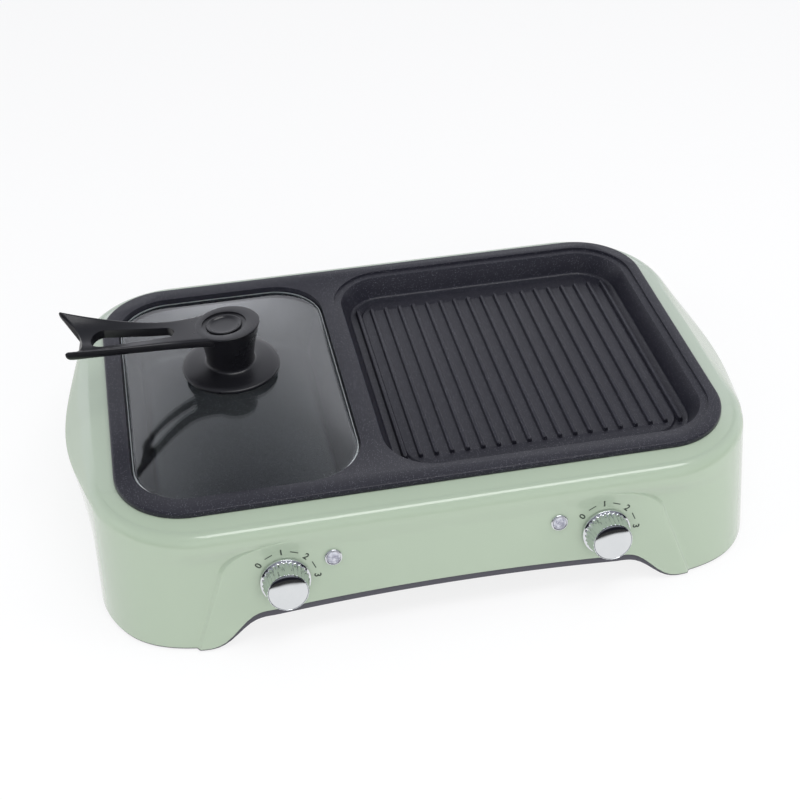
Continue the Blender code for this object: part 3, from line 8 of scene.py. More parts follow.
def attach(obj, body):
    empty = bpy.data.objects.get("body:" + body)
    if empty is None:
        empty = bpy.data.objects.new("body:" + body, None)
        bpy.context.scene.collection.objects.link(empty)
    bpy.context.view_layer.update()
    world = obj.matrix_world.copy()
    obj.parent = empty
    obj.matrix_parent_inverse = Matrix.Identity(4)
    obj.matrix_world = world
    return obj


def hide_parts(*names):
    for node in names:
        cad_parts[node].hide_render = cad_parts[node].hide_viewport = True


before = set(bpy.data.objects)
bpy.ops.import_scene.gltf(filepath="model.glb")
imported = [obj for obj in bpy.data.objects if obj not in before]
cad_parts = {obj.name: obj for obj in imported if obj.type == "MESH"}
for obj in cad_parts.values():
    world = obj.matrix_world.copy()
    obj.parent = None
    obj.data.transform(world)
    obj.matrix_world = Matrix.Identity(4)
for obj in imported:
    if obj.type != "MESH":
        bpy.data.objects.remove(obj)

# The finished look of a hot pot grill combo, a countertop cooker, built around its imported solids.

bpy.context.scene.view_settings.view_transform = "Standard"
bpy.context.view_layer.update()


# Housing: one injection moulding in glossy sage green ABS. Its walls lean in, its short sides have
# lens-shaped grip scoops, and its long sides are arched and carry a panel with a soft raised edge.
# A ledge round the top opening takes the cooking plate.

HOUSING_Y = 0.005            # the housing's middle, behind the origin
RIM = (0.25, 0.162, 0.08)    # half width, half depth and corner radius
RIM_HEIGHT = 0.0946
RIM_FILLET = 0.008
FOOT = (0.252, 0.181, 0.077)
WALL = 0.0028
FOOT_EDGE = 0.0025
ARCH_EDGE = 0.031
ARCH_SAG = 0.0045
ARCH_BEND = (0.128, 0.1835)  # where the foot line bends down to the feet
PANEL_HOLLOW = 0.002
PANEL_FOOT_HOLLOW = 0.0011
PANEL_FOOT_REACH = 0.03
PANEL_STEP = 0.0034
PANEL_RISE = 0.0025
PANEL_FOOT_EDGE = 0.187
PANEL_LEAN = 0.022
PANEL_ROUND = (0.058, 0.082)
PANEL_TOP_EDGE = 0.11
PANEL_FADE = (0.07, 0.085)
GRIP_HALF_LENGTH = 0.1
GRIP_BULGE = 0.0155
GRIP_HOLLOW = 0.0055
GRIP_EDGE = 0.075
BAND_TOP = 0.098
PLATE = (0.23, 0.143, 0.053)
LEDGE_WIDTH = 0.007
LEDGE_DEPTH = 0.006
GAP = 0.0003                 # clearance between pieces that are fitted together
SEAM_GAP = 2e-6              # points closer than this are one point


def smoothstep(low, high, value):
    share = min(max((value - low) / (high - low), 0), 1)
    return share * share * (3 - 2 * share)


def mix(start, end, share):
    return start + (end - start) * share


def wall_size(z):
    return tuple(mix(foot, rim, z / RIM_HEIGHT) for foot, rim in zip(FOOT, RIM))


def quarter_point(size, station):
    """Point and outward direction on the front right quarter: 0-1 front, 1-2 corner, 2-3 side."""
    half_width, half_depth, radius = size
    if station <= 1:
        return Vector((station * (half_width - radius), -half_depth)), Vector((0, -1))
    if station <= 2:
        angle = (station - 1) * pi / 2
        outward = Vector((sin(angle), -cos(angle)))
        return Vector((half_width - radius, radius - half_depth)) + outward * radius, outward
    return Vector((half_width, (station - 3) * (half_depth - radius))), Vector((1, 0))


def station_of(x, z):
    half_width, _, radius = wall_size(z)
    flat = half_width - radius
    return x / flat if x <= flat else 1 + asin(min((x - flat) / radius, 1)) / (pi / 2)


def panel_edge(z):
    if z <= PANEL_ROUND[0]:
        return PANEL_FOOT_EDGE - PANEL_LEAN * z / PANEL_ROUND[0]
    share = min((z - PANEL_ROUND[0]) / (PANEL_ROUND[1] - PANEL_ROUND[0]), 1)
    side = PANEL_FOOT_EDGE - PANEL_LEAN
    return PANEL_TOP_EDGE + (side - PANEL_TOP_EDGE) * sqrt(1 - share * share)


def panel_hollow(z):
    hollow = mix(PANEL_FOOT_HOLLOW, PANEL_HOLLOW, smoothstep(0, PANEL_FOOT_REACH, z))
    return hollow * (1 - smoothstep(*PANEL_FADE, z))


def beside_panel(z):
    return panel_hollow(z) + PANEL_RISE * (1 - smoothstep(*PANEL_FADE, z))


def arch(x, foot, crown):
    bow = crown - ARCH_SAG * (min(abs(x), ARCH_BEND[0]) / ARCH_BEND[0]) ** 2
    return mix(bow, foot, smoothstep(0, 1, smoothstep(*ARCH_BEND, abs(x))))


def grip(y):
    return max(0, 1 - (y / GRIP_HALF_LENGTH) ** 2) ** 1.5


def lip_height(y):
    return mix(RIM_HEIGHT - RIM_FILLET, GRIP_EDGE, grip(y))


def quarter_columns(panel, step, corner, side):
    """Upright lines of the quarter, each as its station at a height and its shares of the depth of
    the panel and of the wall beside it."""
    half = PANEL_STEP / 2
    lines = []
    for i in range(panel + 1):
        lines.append((lambda z, s=i / panel: s * station_of(panel_edge(z) - half, z), 1, 0))
    for i in range(1, step):
        across = smoothstep(0, 1, i / step)
        lines.append((
            lambda z, s=i / step: station_of(panel_edge(z) + half * (2 * s - 1), z), 1 - across, across))
    for i in range(corner + 1):
        fade = 1 - smoothstep(0, 0.5, i / corner)
        lines.append((lambda z, s=i / corner: mix(station_of(panel_edge(z) + half, z), 2, s), 0, fade))
    for i in range(1, side + 1):
        lines.append((lambda z, s=i / side: 2 + s, 0, 0))
    return lines


def wall_point(line, z, inset):
    station, panel, beside = line
    point, outward = quarter_point(wall_size(z), station(z))
    moved = point - outward * (inset + panel * panel_hollow(z) + beside * beside_panel(z))
    bulge = GRIP_BULGE * grip(point.y) * min(z / lip_height(point.y), 1)
    return Vector((moved.x + bulge, moved.y, z))


def edge_height(line, foot, crown):
    """Height of the foot line, found in a few rounds because the wall leans."""
    z = foot
    for _ in range(30):
        z = arch(quarter_point(wall_size(z), line[0](z))[0].x, foot, crown)
    return z


def soften(points, radii, steps=4):
    """Rounds the corners of a closed run of points that are given a radius."""
    soft = []
    for i, (point, radius) in enumerate(zip(points, radii)):
        if not radius:
            soft.append(point)
            continue
        before, after = points[i - 1] - point, points[(i + 1) % len(points)] - point
        start = point + before.normalized() * min(radius, before.length / 2)
        end = point + after.normalized() * min(radius, after.length / 2)
        for step in range(steps + 1):
            t = step / steps
            soft.append(start * (1 - t) ** 2 + point * 2 * t * (1 - t) + end * t * t)
    return soft


def primitive(name, add, **settings):
    """One of Blender's primitives, added with nothing else selected."""
    bpy.ops.object.select_all(action="DESELECT")
    add(**settings)
    piece = bpy.context.view_layer.objects.active
    piece.name = name
    piece.data.name = name
    return piece


def choose(*pieces):
    """Selects the pieces alone and makes the first one active."""
    bpy.ops.object.select_all(action="DESELECT")
    for piece in pieces:
        piece.select_set(True)
    bpy.context.view_layer.objects.active = pieces[0]


def settle(piece, matrix=None):
    """Puts the piece's place, turn and scale into its mesh, and its object at the origin."""
    if matrix is not None:
        piece.matrix_world = matrix @ piece.matrix_world
    choose(piece)
    bpy.ops.object.transform_apply(location=True, rotation=True, scale=True)
    return piece


def open_edit(piece):
    """Opens the piece in edit mode with all of its mesh selected."""
    choose(piece)
    bpy.ops.object.mode_set(mode="EDIT")
    bpy.ops.mesh.select_all(action="SELECT")


def close_edit():
    bpy.ops.object.mode_set(mode="OBJECT")


def draw_out(x, y, z):
    """In edit mode, extrudes what is selected by a move."""
    bpy.ops.mesh.extrude_region_move(TRANSFORM_OT_translate={"value": (x, y, z)})


def face_out():
    """In edit mode, turns all the faces outwards."""
    bpy.ops.mesh.select_all(action="SELECT")
    bpy.ops.mesh.normals_make_consistent(inside=False)


def close_seams(piece):
    open_edit(piece)
    bpy.ops.mesh.remove_doubles(threshold=SEAM_GAP)
    face_out()
    close_edit()


def wrapped_grid(name, columns, rows, place):
    """A grid primitive whose every point is laid on place(column, row), with its seams closed."""
    piece = primitive(
        name, bpy.ops.mesh.primitive_grid_add, x_subdivisions=columns, y_subdivisions=rows, size=1)
    for vertex in piece.data.vertices:
        vertex.co = place(round((vertex.co.x + 0.5) * columns), round((vertex.co.y + 0.5) * rows))
    close_seams(piece)
    return piece


def modify(piece, kind, **settings):
    """Adds a modifier and applies it."""
    choose(piece)
    step = piece.modifiers.new(kind.title(), kind)
    for key, value in settings.items():
        setattr(step, key, value)
    bpy.ops.object.modifier_apply(modifier=step.name)


def carve(piece, tool, operation="DIFFERENCE"):
    modify(piece, "BOOLEAN", object=tool, operation=operation, solver="EXACT")
    bpy.data.objects.remove(tool, do_unlink=True)


def break_edges(piece, width, segments, angle):
    """Rounds the edges that are sharper than an angle."""
    modify(piece, "BEVEL", width=width, segments=segments, limit_method="ANGLE", angle_limit=radians(angle))


def smooth(piece, angle):
    choose(piece)
    bpy.ops.object.shade_smooth_by_angle(angle=radians(angle))
    return piece


def block(name, x, y, low, high, half_x, half_y):
    return settle(primitive(
        name, bpy.ops.mesh.primitive_cube_add,
        size=2, location=(x, y, (low + high) / 2), scale=(half_x, half_y, (high - low) / 2)))


def pick(piece, kind, test):
    """In edit mode, selects only the edges or faces whose corners' heights pass a test."""
    bpy.ops.mesh.select_mode(type=kind)
    bpy.ops.mesh.select_all(action="DESELECT")
    mesh = bmesh.from_edit_mesh(piece.data)
    for item in mesh.edges if kind == "EDGE" else mesh.faces:
        item.select_set(test([vertex.co.z for vertex in item.verts]))
    bmesh.update_edit_mesh(piece.data)


def round_uprights(piece, radius, segments):
    """Rounds the upright edges of a block, or of several joined ones."""
    open_edit(piece)
    pick(piece, "EDGE", lambda heights: max(heights) - min(heights) > SEAM_GAP)
    bpy.ops.mesh.bevel(offset=radius, segments=segments, affect="EDGES")
    close_edit()
    return piece


def rounded_block(name, shape, low, high, segments=16):
    """A cube drawn out to a block with upright rounded corners. The shape gives its middle X,
    half width, half depth and corner radius."""
    x, half_x, half_y, radius = shape
    return round_uprights(block(name, x, HOUSING_Y, low, high, half_x, half_y), radius, segments)


def hand_in(piece, body, finish, slot, *nodes):
    """Gives a piece its material, its body and the nodes that it stands for. The slot is not used."""
    if not piece.data.materials:
        piece.data.materials.append(finish)
    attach(piece, body)
    if nodes:
        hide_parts(*nodes)


def hex_colour(code):
    """An sRGB hex colour as linear values."""
    parts = [int(code[i:i + 2], 16) / 255 for i in (1, 3, 5)]
    return (*(c / 12.92 if c <= 0.04045 else ((c + 0.055) / 1.055) ** 2.4 for c in parts), 1)


def add_node(tree, kind, values=None, links=None, stops=(), **settings):
    """Adds a node with its settings, its sockets' values, its links and the stops of its ramp."""
    node = tree.nodes.new("ShaderNode" + kind)
    for key, value in settings.items():
        setattr(node, key, value)
    for socket, value in (values or {}).items():
        node.inputs[socket].default_value = value
    for socket, source in (links or {}).items():
        tree.links.new(source, node.inputs[socket])
    for i, (position, colour) in enumerate(stops):
        node.color_ramp.elements[i].position = position
        node.color_ramp.elements[i].color = colour
    return node


def new_material(name, **sockets):
    """A material whose Principled shader has plain values on its sockets."""
    made = bpy.data.materials.new(name)
    made.use_nodes = True
    shader = made.node_tree.nodes["Principled BSDF"]
    for socket, value in sockets.items():
        shader.inputs[socket.replace("_", " ")].default_value = value
    return made


def lay_pattern(
        material, scale, detail, tones=None, stops=(0, 1), gloss=None, relief=None,
        kind="TexNoise", output="Fac"):
    """Lays one texture over a material: between two colours with their stops, between two values
    of roughness, or as a relief with a strength and a distance."""
    tree = material.node_tree
    shader = tree.nodes["Principled BSDF"]
    place = add_node(tree, "TexCoord").outputs["Object"]
    texture = add_node(tree, kind, {"Scale": scale, "Detail": detail}, {"Vector": place}).outputs[output]
    if tones:
        tint = add_node(tree, "ValToRGB", links={"Fac": texture}, stops=zip(stops, map(hex_colour, tones)))
        tree.links.new(tint.outputs["Color"], shader.inputs["Base Color"])
    if gloss:
        band = add_node(tree, "MapRange", {"To Min": gloss[0], "To Max": gloss[1]}, {"Value": texture})
        tree.links.new(band.outputs["Result"], shader.inputs["Roughness"])
    if relief:
        bump = add_node(tree, "Bump", {"Strength": relief[0], "Distance": relief[1]}, {"Height": texture})
        tree.links.new(bump.outputs["Normal"], shader.inputs["Normal"])


SIDE_LINES = 26
QUARTER = quarter_columns(panel=54, step=8, corner=30, side=SIDE_LINES)
WALL_ROWS = 52
FILLET_ROWS = 14
FOOT_ROUND = 0.0005
LIP_ROUND = 0.0011
BAND_ROUND = 0.0016
LEDGE_ROUNDS = [0.0004, 0.0005, 0.0005, 0, 0]


def housing_profile(line):
    """Up the outside, over the rim and the ledge, and down the inside of one upright line."""
    low = edge_height(line, FOOT_EDGE, ARCH_EDGE)
    side = quarter_point(wall_size(RIM_HEIGHT), line[0](RIM_HEIGHT))[0]
    share = grip(side.y)
    top = lip_height(side.y)
    points = [wall_point(line, mix(low, top, i / WALL_ROWS), 0) for i in range(WALL_ROWS + 1)]
    radii = [FOOT_ROUND] + [0] * (WALL_ROWS - 1) + [LIP_ROUND * min(1, share * 6)]
    for i in range(1, FILLET_ROWS + 1):
        part = i / FILLET_ROWS
        angle = part * pi / 2
        inset = mix(RIM_FILLET * (1 - cos(angle)), mix(-GRIP_BULGE, GRIP_HOLLOW, part), share)
        z = mix(RIM_HEIGHT - RIM_FILLET * (1 - sin(angle)), mix(GRIP_EDGE, RIM_HEIGHT, part), share)
        point, outward = quarter_point(wall_size(z), line[0](z))
        points.append(Vector((*(point - outward * inset), z)))
    radii += [0] * (FILLET_ROWS - 1) + [BAND_ROUND]
    station = line[0](RIM_HEIGHT)
    seat = tuple(size + GAP for size in PLATE)
    opening = tuple(size - LEDGE_WIDTH for size in seat)
    under = tuple(size + WALL for size in opening)
    for size, z in (
        (seat, BAND_TOP), (opening, BAND_TOP), (opening, BAND_TOP - LEDGE_DEPTH),
        (under, BAND_TOP - LEDGE_DEPTH), (under, BAND_TOP - WALL),
    ):
        points.append(Vector((*quarter_point(size, station)[0], z)))
    radii += LEDGE_ROUNDS
    point, outward = quarter_point(wall_size(RIM_HEIGHT), station)
    inset = mix(RIM_FILLET, GRIP_HOLLOW + WALL, share)
    points.append(Vector((*(point - outward * inset), RIM_HEIGHT - WALL)))
    points += [wall_point(line, mix(low, top - WALL, s), WALL) for s in (1, 0.8, 0.6, 0.4, 0.2, 0)]
    radii += [0] * 6 + [FOOT_ROUND]
    return soften(points, radii)


def all_round(quarter):
    """Four mirrored quarters of a list of columns, back to the first one."""
    back = quarter[::-1]
    order = [(quarter, 1, 1), (back[1:], 1, -1), (quarter[1:], -1, -1), (back[1:], -1, 1)]
    shift = Vector((0, HOUSING_Y, 0))
    return [
        [Vector((p.x * across, p.y * along, p.z)) + shift for p in column]
        for columns, across, along in order for column in columns]


WALL_LEAN = atan2(FOOT[1] - RIM[1], RIM_HEIGHT)


def wall_mount(x, height, side):
    """A frame on the panel with Z out of the wall. The side is -1 in front and 1 behind."""
    depth = wall_size(height)[1] - panel_hollow(height)
    turn = Euler((pi / 2 - WALL_LEAN, 0, 0 if side < 0 else pi))
    return Matrix.Translation((x, side * depth + HOUSING_Y, height)) @ turn.to_matrix().to_4x4()


SIDES = (("left", -1), ("right", 1))
KNOB_X = 0.119
KNOB_HEIGHT = 0.0502
SHAFT_HOLE = 0.0051
LAMP_X = 0.0835
LAMP_HEIGHT = 0.063
LAMP_HOLE = 0.0049
INLET_X = 0.09
INLET_HEIGHT = 0.052
INLET_SCREW_X = 0.02
INLET_SCREW_HOLE = 0.002
INLET_WINDOW = (0, 0.0156, 0.0119, 0.006)


def drill_wall(mount, radius, vertices=48):
    drill = primitive(
        "drill", bpy.ops.mesh.primitive_cylinder_add, vertices=vertices, radius=radius, depth=0.012)
    carve(housing, settle(drill, mount))


def ring_wall(name, profile):
    """A closed ring with the profile that a function gives for each upright line."""
    profiles = all_round([profile(line) for line in QUARTER])
    rows = len(profiles[0])
    return wrapped_grid(name, len(profiles) - 1, rows, lambda column, row: profiles[column][row % rows])


housing = ring_wall("housing", housing_profile)
for x in (-KNOB_X, KNOB_X):
    drill_wall(wall_mount(x, KNOB_HEIGHT, -1), SHAFT_HOLE)
for x in (-LAMP_X, LAMP_X):
    drill_wall(wall_mount(x, LAMP_HEIGHT, -1), LAMP_HOLE)
inlet_mount = wall_mount(INLET_X, INLET_HEIGHT, 1)
window = rounded_block("window", INLET_WINDOW, -0.009, 0.009, 8)
settle(window, Matrix.Translation((0, -HOUSING_Y, 0)))
carve(housing, settle(window, inlet_mount))
for x in (-INLET_SCREW_X, INLET_SCREW_X):
    drill_wall(inlet_mount @ Matrix.Translation((x, 0, 0)), INLET_SCREW_HOLE, 24)
smooth(housing, 32)

# Sage green ABS, high gloss from a polished mould: a clear sharp highlight over a milky colour,
# with the faintest waviness of a large moulding and no visible grain.
sage_abs = new_material(
    "sage_green_gloss_abs", Roughness=0.26, IOR=1.53, Specular_IOR_Level=0.3, Coat_Weight=1.0,
    Coat_Roughness=0.03)
lay_pattern(sage_abs, 6.0, 3.0, tones=("#9aa894", "#9eac98"))
lay_pattern(sage_abs, 22.0, 2.0, relief=(0.04, 0.0004))
hand_in(housing, "cooker", sage_abs, "housing_green", "housing_shell")


# Base cover: one black polypropylene moulding that closes the housing from below. It follows the
# arch, shows under it as a dark edge, and has twelve cooling slots and six sunk screws.

BASE_EDGE = 0.0012
BASE_ARCH = ARCH_EDGE - 0.005
BASE_RIM_HEIGHT = 0.011
BASE_RIM_LEAN = (0.9991, 0.9876, 1)
BASE_WALL = 0.0022
BASE_INSET = WALL + 0.001
BASE_ACROSS = 40
STEP_ROOM_X = (0.158, 0.174)
GRIP_FADE_X = (0.225, 0.2482)
SCREW_SEAT = 0.0034
SLOT_COUNT = 6
SLOT_PITCH = 0.01
SLOT_Y = 0.06
FOOT_PLACES = [(x, y + HOUSING_Y) for x in (-0.205, 0.205) for y in (-0.104, 0.104)]
SCREW_PLACES = [(x, y + HOUSING_Y) for x in (-0.2185, 0.2185) for y in (-0.1305, 0.1305)]
SCREW_PLACES += [(0, HOUSING_Y - 0.1475), (0, HOUSING_Y + 0.1475)]


def cylinder(name, x, y, low, high, radius, vertices=48):
    return settle(primitive(
        name, bpy.ops.mesh.primitive_cylinder_add,
        vertices=vertices, radius=radius, depth=high - low, location=(x, y, (low + high) / 2)))


def join(pieces):
    """Joins pieces into the first one, each with its own closed shell."""
    choose(*pieces)
    bpy.ops.object.join()
    return pieces[0]


def step_room(line, z):
    """Extra inset near the panel's edge, which leans inwards as it rises."""
    x = quarter_point(wall_size(z), line[0](z))[0].x
    return PANEL_RISE * line[1] * smoothstep(*STEP_ROOM_X, x)


base_outline = []
for line in QUARTER[:-SIDE_LINES]:
    foot = edge_height(line, BASE_EDGE, BASE_ARCH)
    base_outline.append(wall_point(line, foot, BASE_INSET + step_room(line, foot)))
last = len(base_outline) - 1


def base_point(column, row):
    edge = base_outline[abs(column - last)]
    side = 1 if column >= last else -1
    share = 2 * row / BASE_ACROSS - 1
    y = edge.y * -share
    bulge = GRIP_BULGE * grip(y) * edge.z / GRIP_EDGE * smoothstep(*GRIP_FADE_X, abs(edge.x))
    return Vector((side * (edge.x + bulge), y + HOUSING_Y, edge.z))


base = wrapped_grid("base", 2 * last, BASE_ACROSS, base_point)
open_edit(base)
bpy.ops.mesh.region_to_loop()
draw_out(0, 0, BASE_RIM_HEIGHT)
bpy.ops.transform.resize(value=BASE_RIM_LEAN, center_override=(0, HOUSING_Y, 0))
face_out()
close_edit()
# This shell is still open, so it may have come out with its floor facing up.
if sum(polygon.normal.z * polygon.area for polygon in base.data.polygons) > 0:
    open_edit(base)
    bpy.ops.mesh.flip_normals()
    close_edit()
modify(base, "SOLIDIFY", thickness=BASE_WALL, offset=-1, use_even_offset=True)


def base_rim_profile(line):
    """The dark edge that shows under the housing's foot line, flush with the wall."""
    low = edge_height(line, BASE_EDGE, BASE_ARCH)
    high = edge_height(line, FOOT_EDGE, ARCH_EDGE) - GAP
    near = 0.0007
    deep = BASE_INSET + 0.0015 + step_room(line, low)
    corners = [(low, near), (high, near), (high, deep), (low + 0.0003, deep)]
    return soften([wall_point(line, z, inset) for z, inset in corners], [0.0005, 0.0003, 0, 0], 3)


carve(base, ring_wall("base_rim", base_rim_profile), "UNION")

pads = [cylinder("pad", x, y, 0.0024, 0.0058, 0.0165) for x, y in FOOT_PLACES]
recesses = [cylinder("recess", x, y, -0.002, 0.0033, 0.0143) for x, y in FOOT_PLACES]
seats = []
holes = []
for x, y in SCREW_PLACES:
    under = arch(x, BASE_EDGE, BASE_ARCH)
    pads.append(cylinder("pad", x, y, under + 0.0012, under + 0.0059, 0.0075))
    seats.append(cylinder("seat", x, y, under - 0.002, under + SCREW_SEAT, 0.0041))
    holes.append(cylinder("hole", x, y, under - 0.003, under + 0.008, 0.0022, 24))
carve(base, join(pads), "UNION")
for tools in (recesses, seats, holes):
    carve(base, join(tools))
slots = []
for y in (HOUSING_Y - SLOT_Y, HOUSING_Y + SLOT_Y):
    for i in range(SLOT_COUNT):
        x = (i - (SLOT_COUNT - 1) / 2) * SLOT_PITCH
        slots.append(block("slot", x, y, 0.015, 0.035, 0.002, 0.017))
carve(base, round_uprights(join(slots), 0.0019, 5))
break_edges(base, 0.0004, 2, 40)
smooth(base, 35)

# Black polypropylene from a spark-eroded mould: a fine even matt grain of about a third of a
# millimetre, drawn at 0.9 mm so that it shows, and a soft grey sheen where it faces the light.
base_polypropylene = new_material(
    "base_black_polypropylene", Roughness=0.48, IOR=1.49, Base_Color=hex_colour("#44434a"))
lay_pattern(base_polypropylene, 1100.0, 2.0, relief=(0.12, 0.0002))
hand_in(base, "cooker", base_polypropylene, "base_black", "base_cover")


# Feet and base screws: four grey rubber pads pressed into the base's recesses, and six zinc-plated
# cross-head screws that go up into the housing's bosses.


def turned(name, profile, steps=64, base=0):
    """Spins a profile of radius and height points about the upright axis into a closed shape. The
    heights are measured from the base."""
    profile = [(radius, base + height) for radius, height in profile]
    piece = primitive(name, bpy.ops.mesh.primitive_plane_add, size=1)
    open_edit(piece)
    bpy.ops.mesh.select_mode(type="VERT")
    bpy.ops.mesh.select_all(action="SELECT")
    bpy.ops.mesh.merge(type="CENTER")
    bpy.ops.transform.translate(value=(profile[0][0], 0, profile[0][1]))
    for (r0, z0), (r1, z1) in zip(profile, profile[1:]):
        draw_out(r1 - r0, 0, z1 - z0)
    bpy.ops.mesh.select_all(action="SELECT")
    bpy.ops.mesh.spin(steps=steps, angle=2 * pi, center=(0, 0, 0), axis=(0, 0, 1))
    close_edit()
    close_seams(piece)
    return piece


def rounded(piece, width, angle=30):
    """Breaks the piece's sharp edges and shades it."""
    break_edges(piece, width, 3, angle)
    return smooth(piece, angle)


# Grey thermoplastic rubber, moulded with a matt face and dulled by the table.
foot_rubber = new_material("foot_rubber_grey", Roughness=0.82, IOR=1.52)
lay_pattern(foot_rubber, 240.0, 5.0, tones=("#3a3b3c", "#55575a"))

FOOT_NAMES = ("left_front", "left_back", "right_front", "right_back")
for (x, y), name in zip(FOOT_PLACES, FOOT_NAMES):
    pad = turned("foot_" + name, [
        (0, 0), (0.0092, 0), (0.0096, 0.0004), (0.0104, 0.0004), (0.0108, 0), (0.0134, 0),
        (0.014, 0.0006), (0.014, 0.003), (0, 0.003)])
    rounded(pad, 0.0002)
    settle(pad, Matrix.Translation((x, y, 0)))
    hand_in(pad, "cooker", foot_rubber, "foot_rubber", name + "_foot_pad")

# Zinc plate, barrel-finished: a cool bright grey with a slightly broken gloss.
zinc_plate = new_material("screw_zinc_plate", Metallic=1.0)
lay_pattern(zinc_plate, 900.0, 3.0, tones=("#a9acb0", "#c9cbce"), gloss=(0.22, 0.42))


def cross_head_screw(name, radius, length, head_radius, head):
    """Pan head down at Z 0, cross recess in it, shank up with a plain point."""
    screw = turned(name, [
        (0, -head), (head_radius * 0.55, -head * 0.92), (head_radius * 0.86, -head * 0.62),
        (head_radius, -head * 0.18), (head_radius, 0), (radius, 0), (radius, length - radius),
        (0, length)], 32)
    long, short = head_radius * 0.52, head_radius * 0.12
    for half_x, half_y in ((long, short), (short, long)):
        carve(screw, block("driver", 0, 0, -head * 1.2, -head * 0.35, half_x, half_y))
    return rounded(screw, 0.00012)


SCREW_NAMES = FOOT_NAMES + ("middle_front", "middle_back")
for (x, y), name in zip(SCREW_PLACES, SCREW_NAMES):
    screw = cross_head_screw("base_screw_" + name, 0.0019, 0.014, 0.0038, 0.0022)
    under = arch(x, BASE_EDGE, BASE_ARCH)
    settle(screw, Matrix.Translation((x, y, under + SCREW_SEAT - GAP)))
    hand_in(screw, "cooker", zinc_plate, "screw_zinc", name + "_base_screw")


# Cooking plate: one aluminium casting with a deep pot well on the left and a ribbed grill on the
# right, turned up round its edge, and sprayed all over with a charcoal non-stick coating.

PLATE_TOP = 0.1028
PLATE_ROUND = 0.0018
POT = (-0.1327, 0.0843, 0.1275, 0.042)  # middle, half width, half depth and corner radius
GRILL = (0.0915, 0.1295, 0.132, 0.045)
POT_LEDGE = 0.0072
POT_FLOOR = 0.052
POT_ROUND = 0.01
GRILL_LEDGE = 0.002
GRILL_FLOOR = 0.084
GRILL_ROUND = 0.003
CAST = 0.003
CLIP_SCREW = (0.15, 0.1165)             # its place from the middle, sideways and along the depth
RIB_COUNT = 19
RIB_PITCH = 0.012
RIB_HALF_LENGTH = 0.099


def draw_end(piece, way, steps):
    """Draws the block's end face on through insets and moves along Z. The way is 1 up, -1 down."""
    end = max(way * vertex.co.z for vertex in piece.data.vertices)
    open_edit(piece)
    pick(piece, "FACE", lambda heights: all(way * z == end for z in heights))
    for inset, rise in steps:
        if inset:
            bpy.ops.mesh.inset(thickness=inset, use_even_offset=True)
            if rise:
                bpy.ops.transform.translate(value=(0, 0, way * rise))
        else:
            draw_out(0, 0, way * rise)
    close_edit()


def quarter_round(radius, steps):
    """Insets and moves that follow a quarter of a circle."""
    angles = [pi / 2 * i / steps for i in range(steps + 1)]
    return [(radius * (cos(a) - cos(b)), radius * (sin(b) - sin(a))) for a, b in zip(angles, angles[1:])]


plate = rounded_block(
    "cooking_plate_casting", (0, *PLATE), BAND_TOP + GAP, PLATE_TOP - PLATE_ROUND, 24)
draw_end(plate, 1, quarter_round(PLATE_ROUND, 5))
pot_outside = (POT[0], *(size + CAST for size in POT[1:]))
pot_shell = rounded_block("pot_shell", pot_outside, PLATE_TOP - POT_LEDGE - CAST, BAND_TOP + 0.001)
draw_end(pot_shell, -1, [(0.005, 0.005), (0.0108, 0.0245)] + quarter_round(0.0135, 5))
grill_shell = rounded_block("grill_shell", GRILL, 0.0952, BAND_TOP + 0.001)
draw_end(grill_shell, -1, [(0.003, 0.0034), (0.0065, 0.0078)] + quarter_round(0.0037, 3))
carve(plate, pot_shell, "UNION")
carve(plate, grill_shell, "UNION")

ledge = PLATE_TOP - POT_LEDGE
pot_hollow = rounded_block("pot_hollow", POT, ledge, PLATE_TOP + 0.002, 24)
draw_end(pot_hollow, -1, [(0.005, 0), (0.009, ledge - POT_FLOOR - POT_ROUND)] + quarter_round(POT_ROUND, 7))
carve(plate, pot_hollow)
ledge = PLATE_TOP - GRILL_LEDGE
grill_hollow = rounded_block("grill_hollow", GRILL, ledge, PLATE_TOP + 0.002, 24)
draw_end(
    grill_hollow, -1,
    [(0.006, 0), (0.0065, ledge - GRILL_FLOOR - GRILL_ROUND)] + quarter_round(GRILL_ROUND, 4)
    + [(0.007, 0), (0.0015, -0.0012)])
carve(plate, grill_hollow)
for side in (-1, 1):
    bore_y = side * CLIP_SCREW[1] + HOUSING_Y
    carve(plate, cylinder("clip_screw_bore", CLIP_SCREW[0], bore_y, 0.07, 0.0822, 0.0023, 24))

rib_foot = GRILL_FLOOR - 0.001
rib = rounded_block("ribs", (0, 0.0021, RIB_HALF_LENGTH, 0.0018), rib_foot, GRILL_FLOOR + 0.0013, 6)
draw_end(rib, 1, [(0.00055, 0.0021)] + quarter_round(0.0008, 3))
ribs = []
for i in range(RIB_COUNT):
    copy = rib.copy()
    copy.data = rib.data.copy()
    bpy.context.collection.objects.link(copy)
    copy.data.transform(Matrix.Translation((GRILL[0] + (i - (RIB_COUNT - 1) / 2) * RIB_PITCH, 0, 0)))
    ribs.append(copy)
bpy.data.objects.remove(rib, do_unlink=True)
carve(plate, join(ribs), "UNION")
break_edges(plate, 0.0006, 3, 38)
smooth(plate, 35)

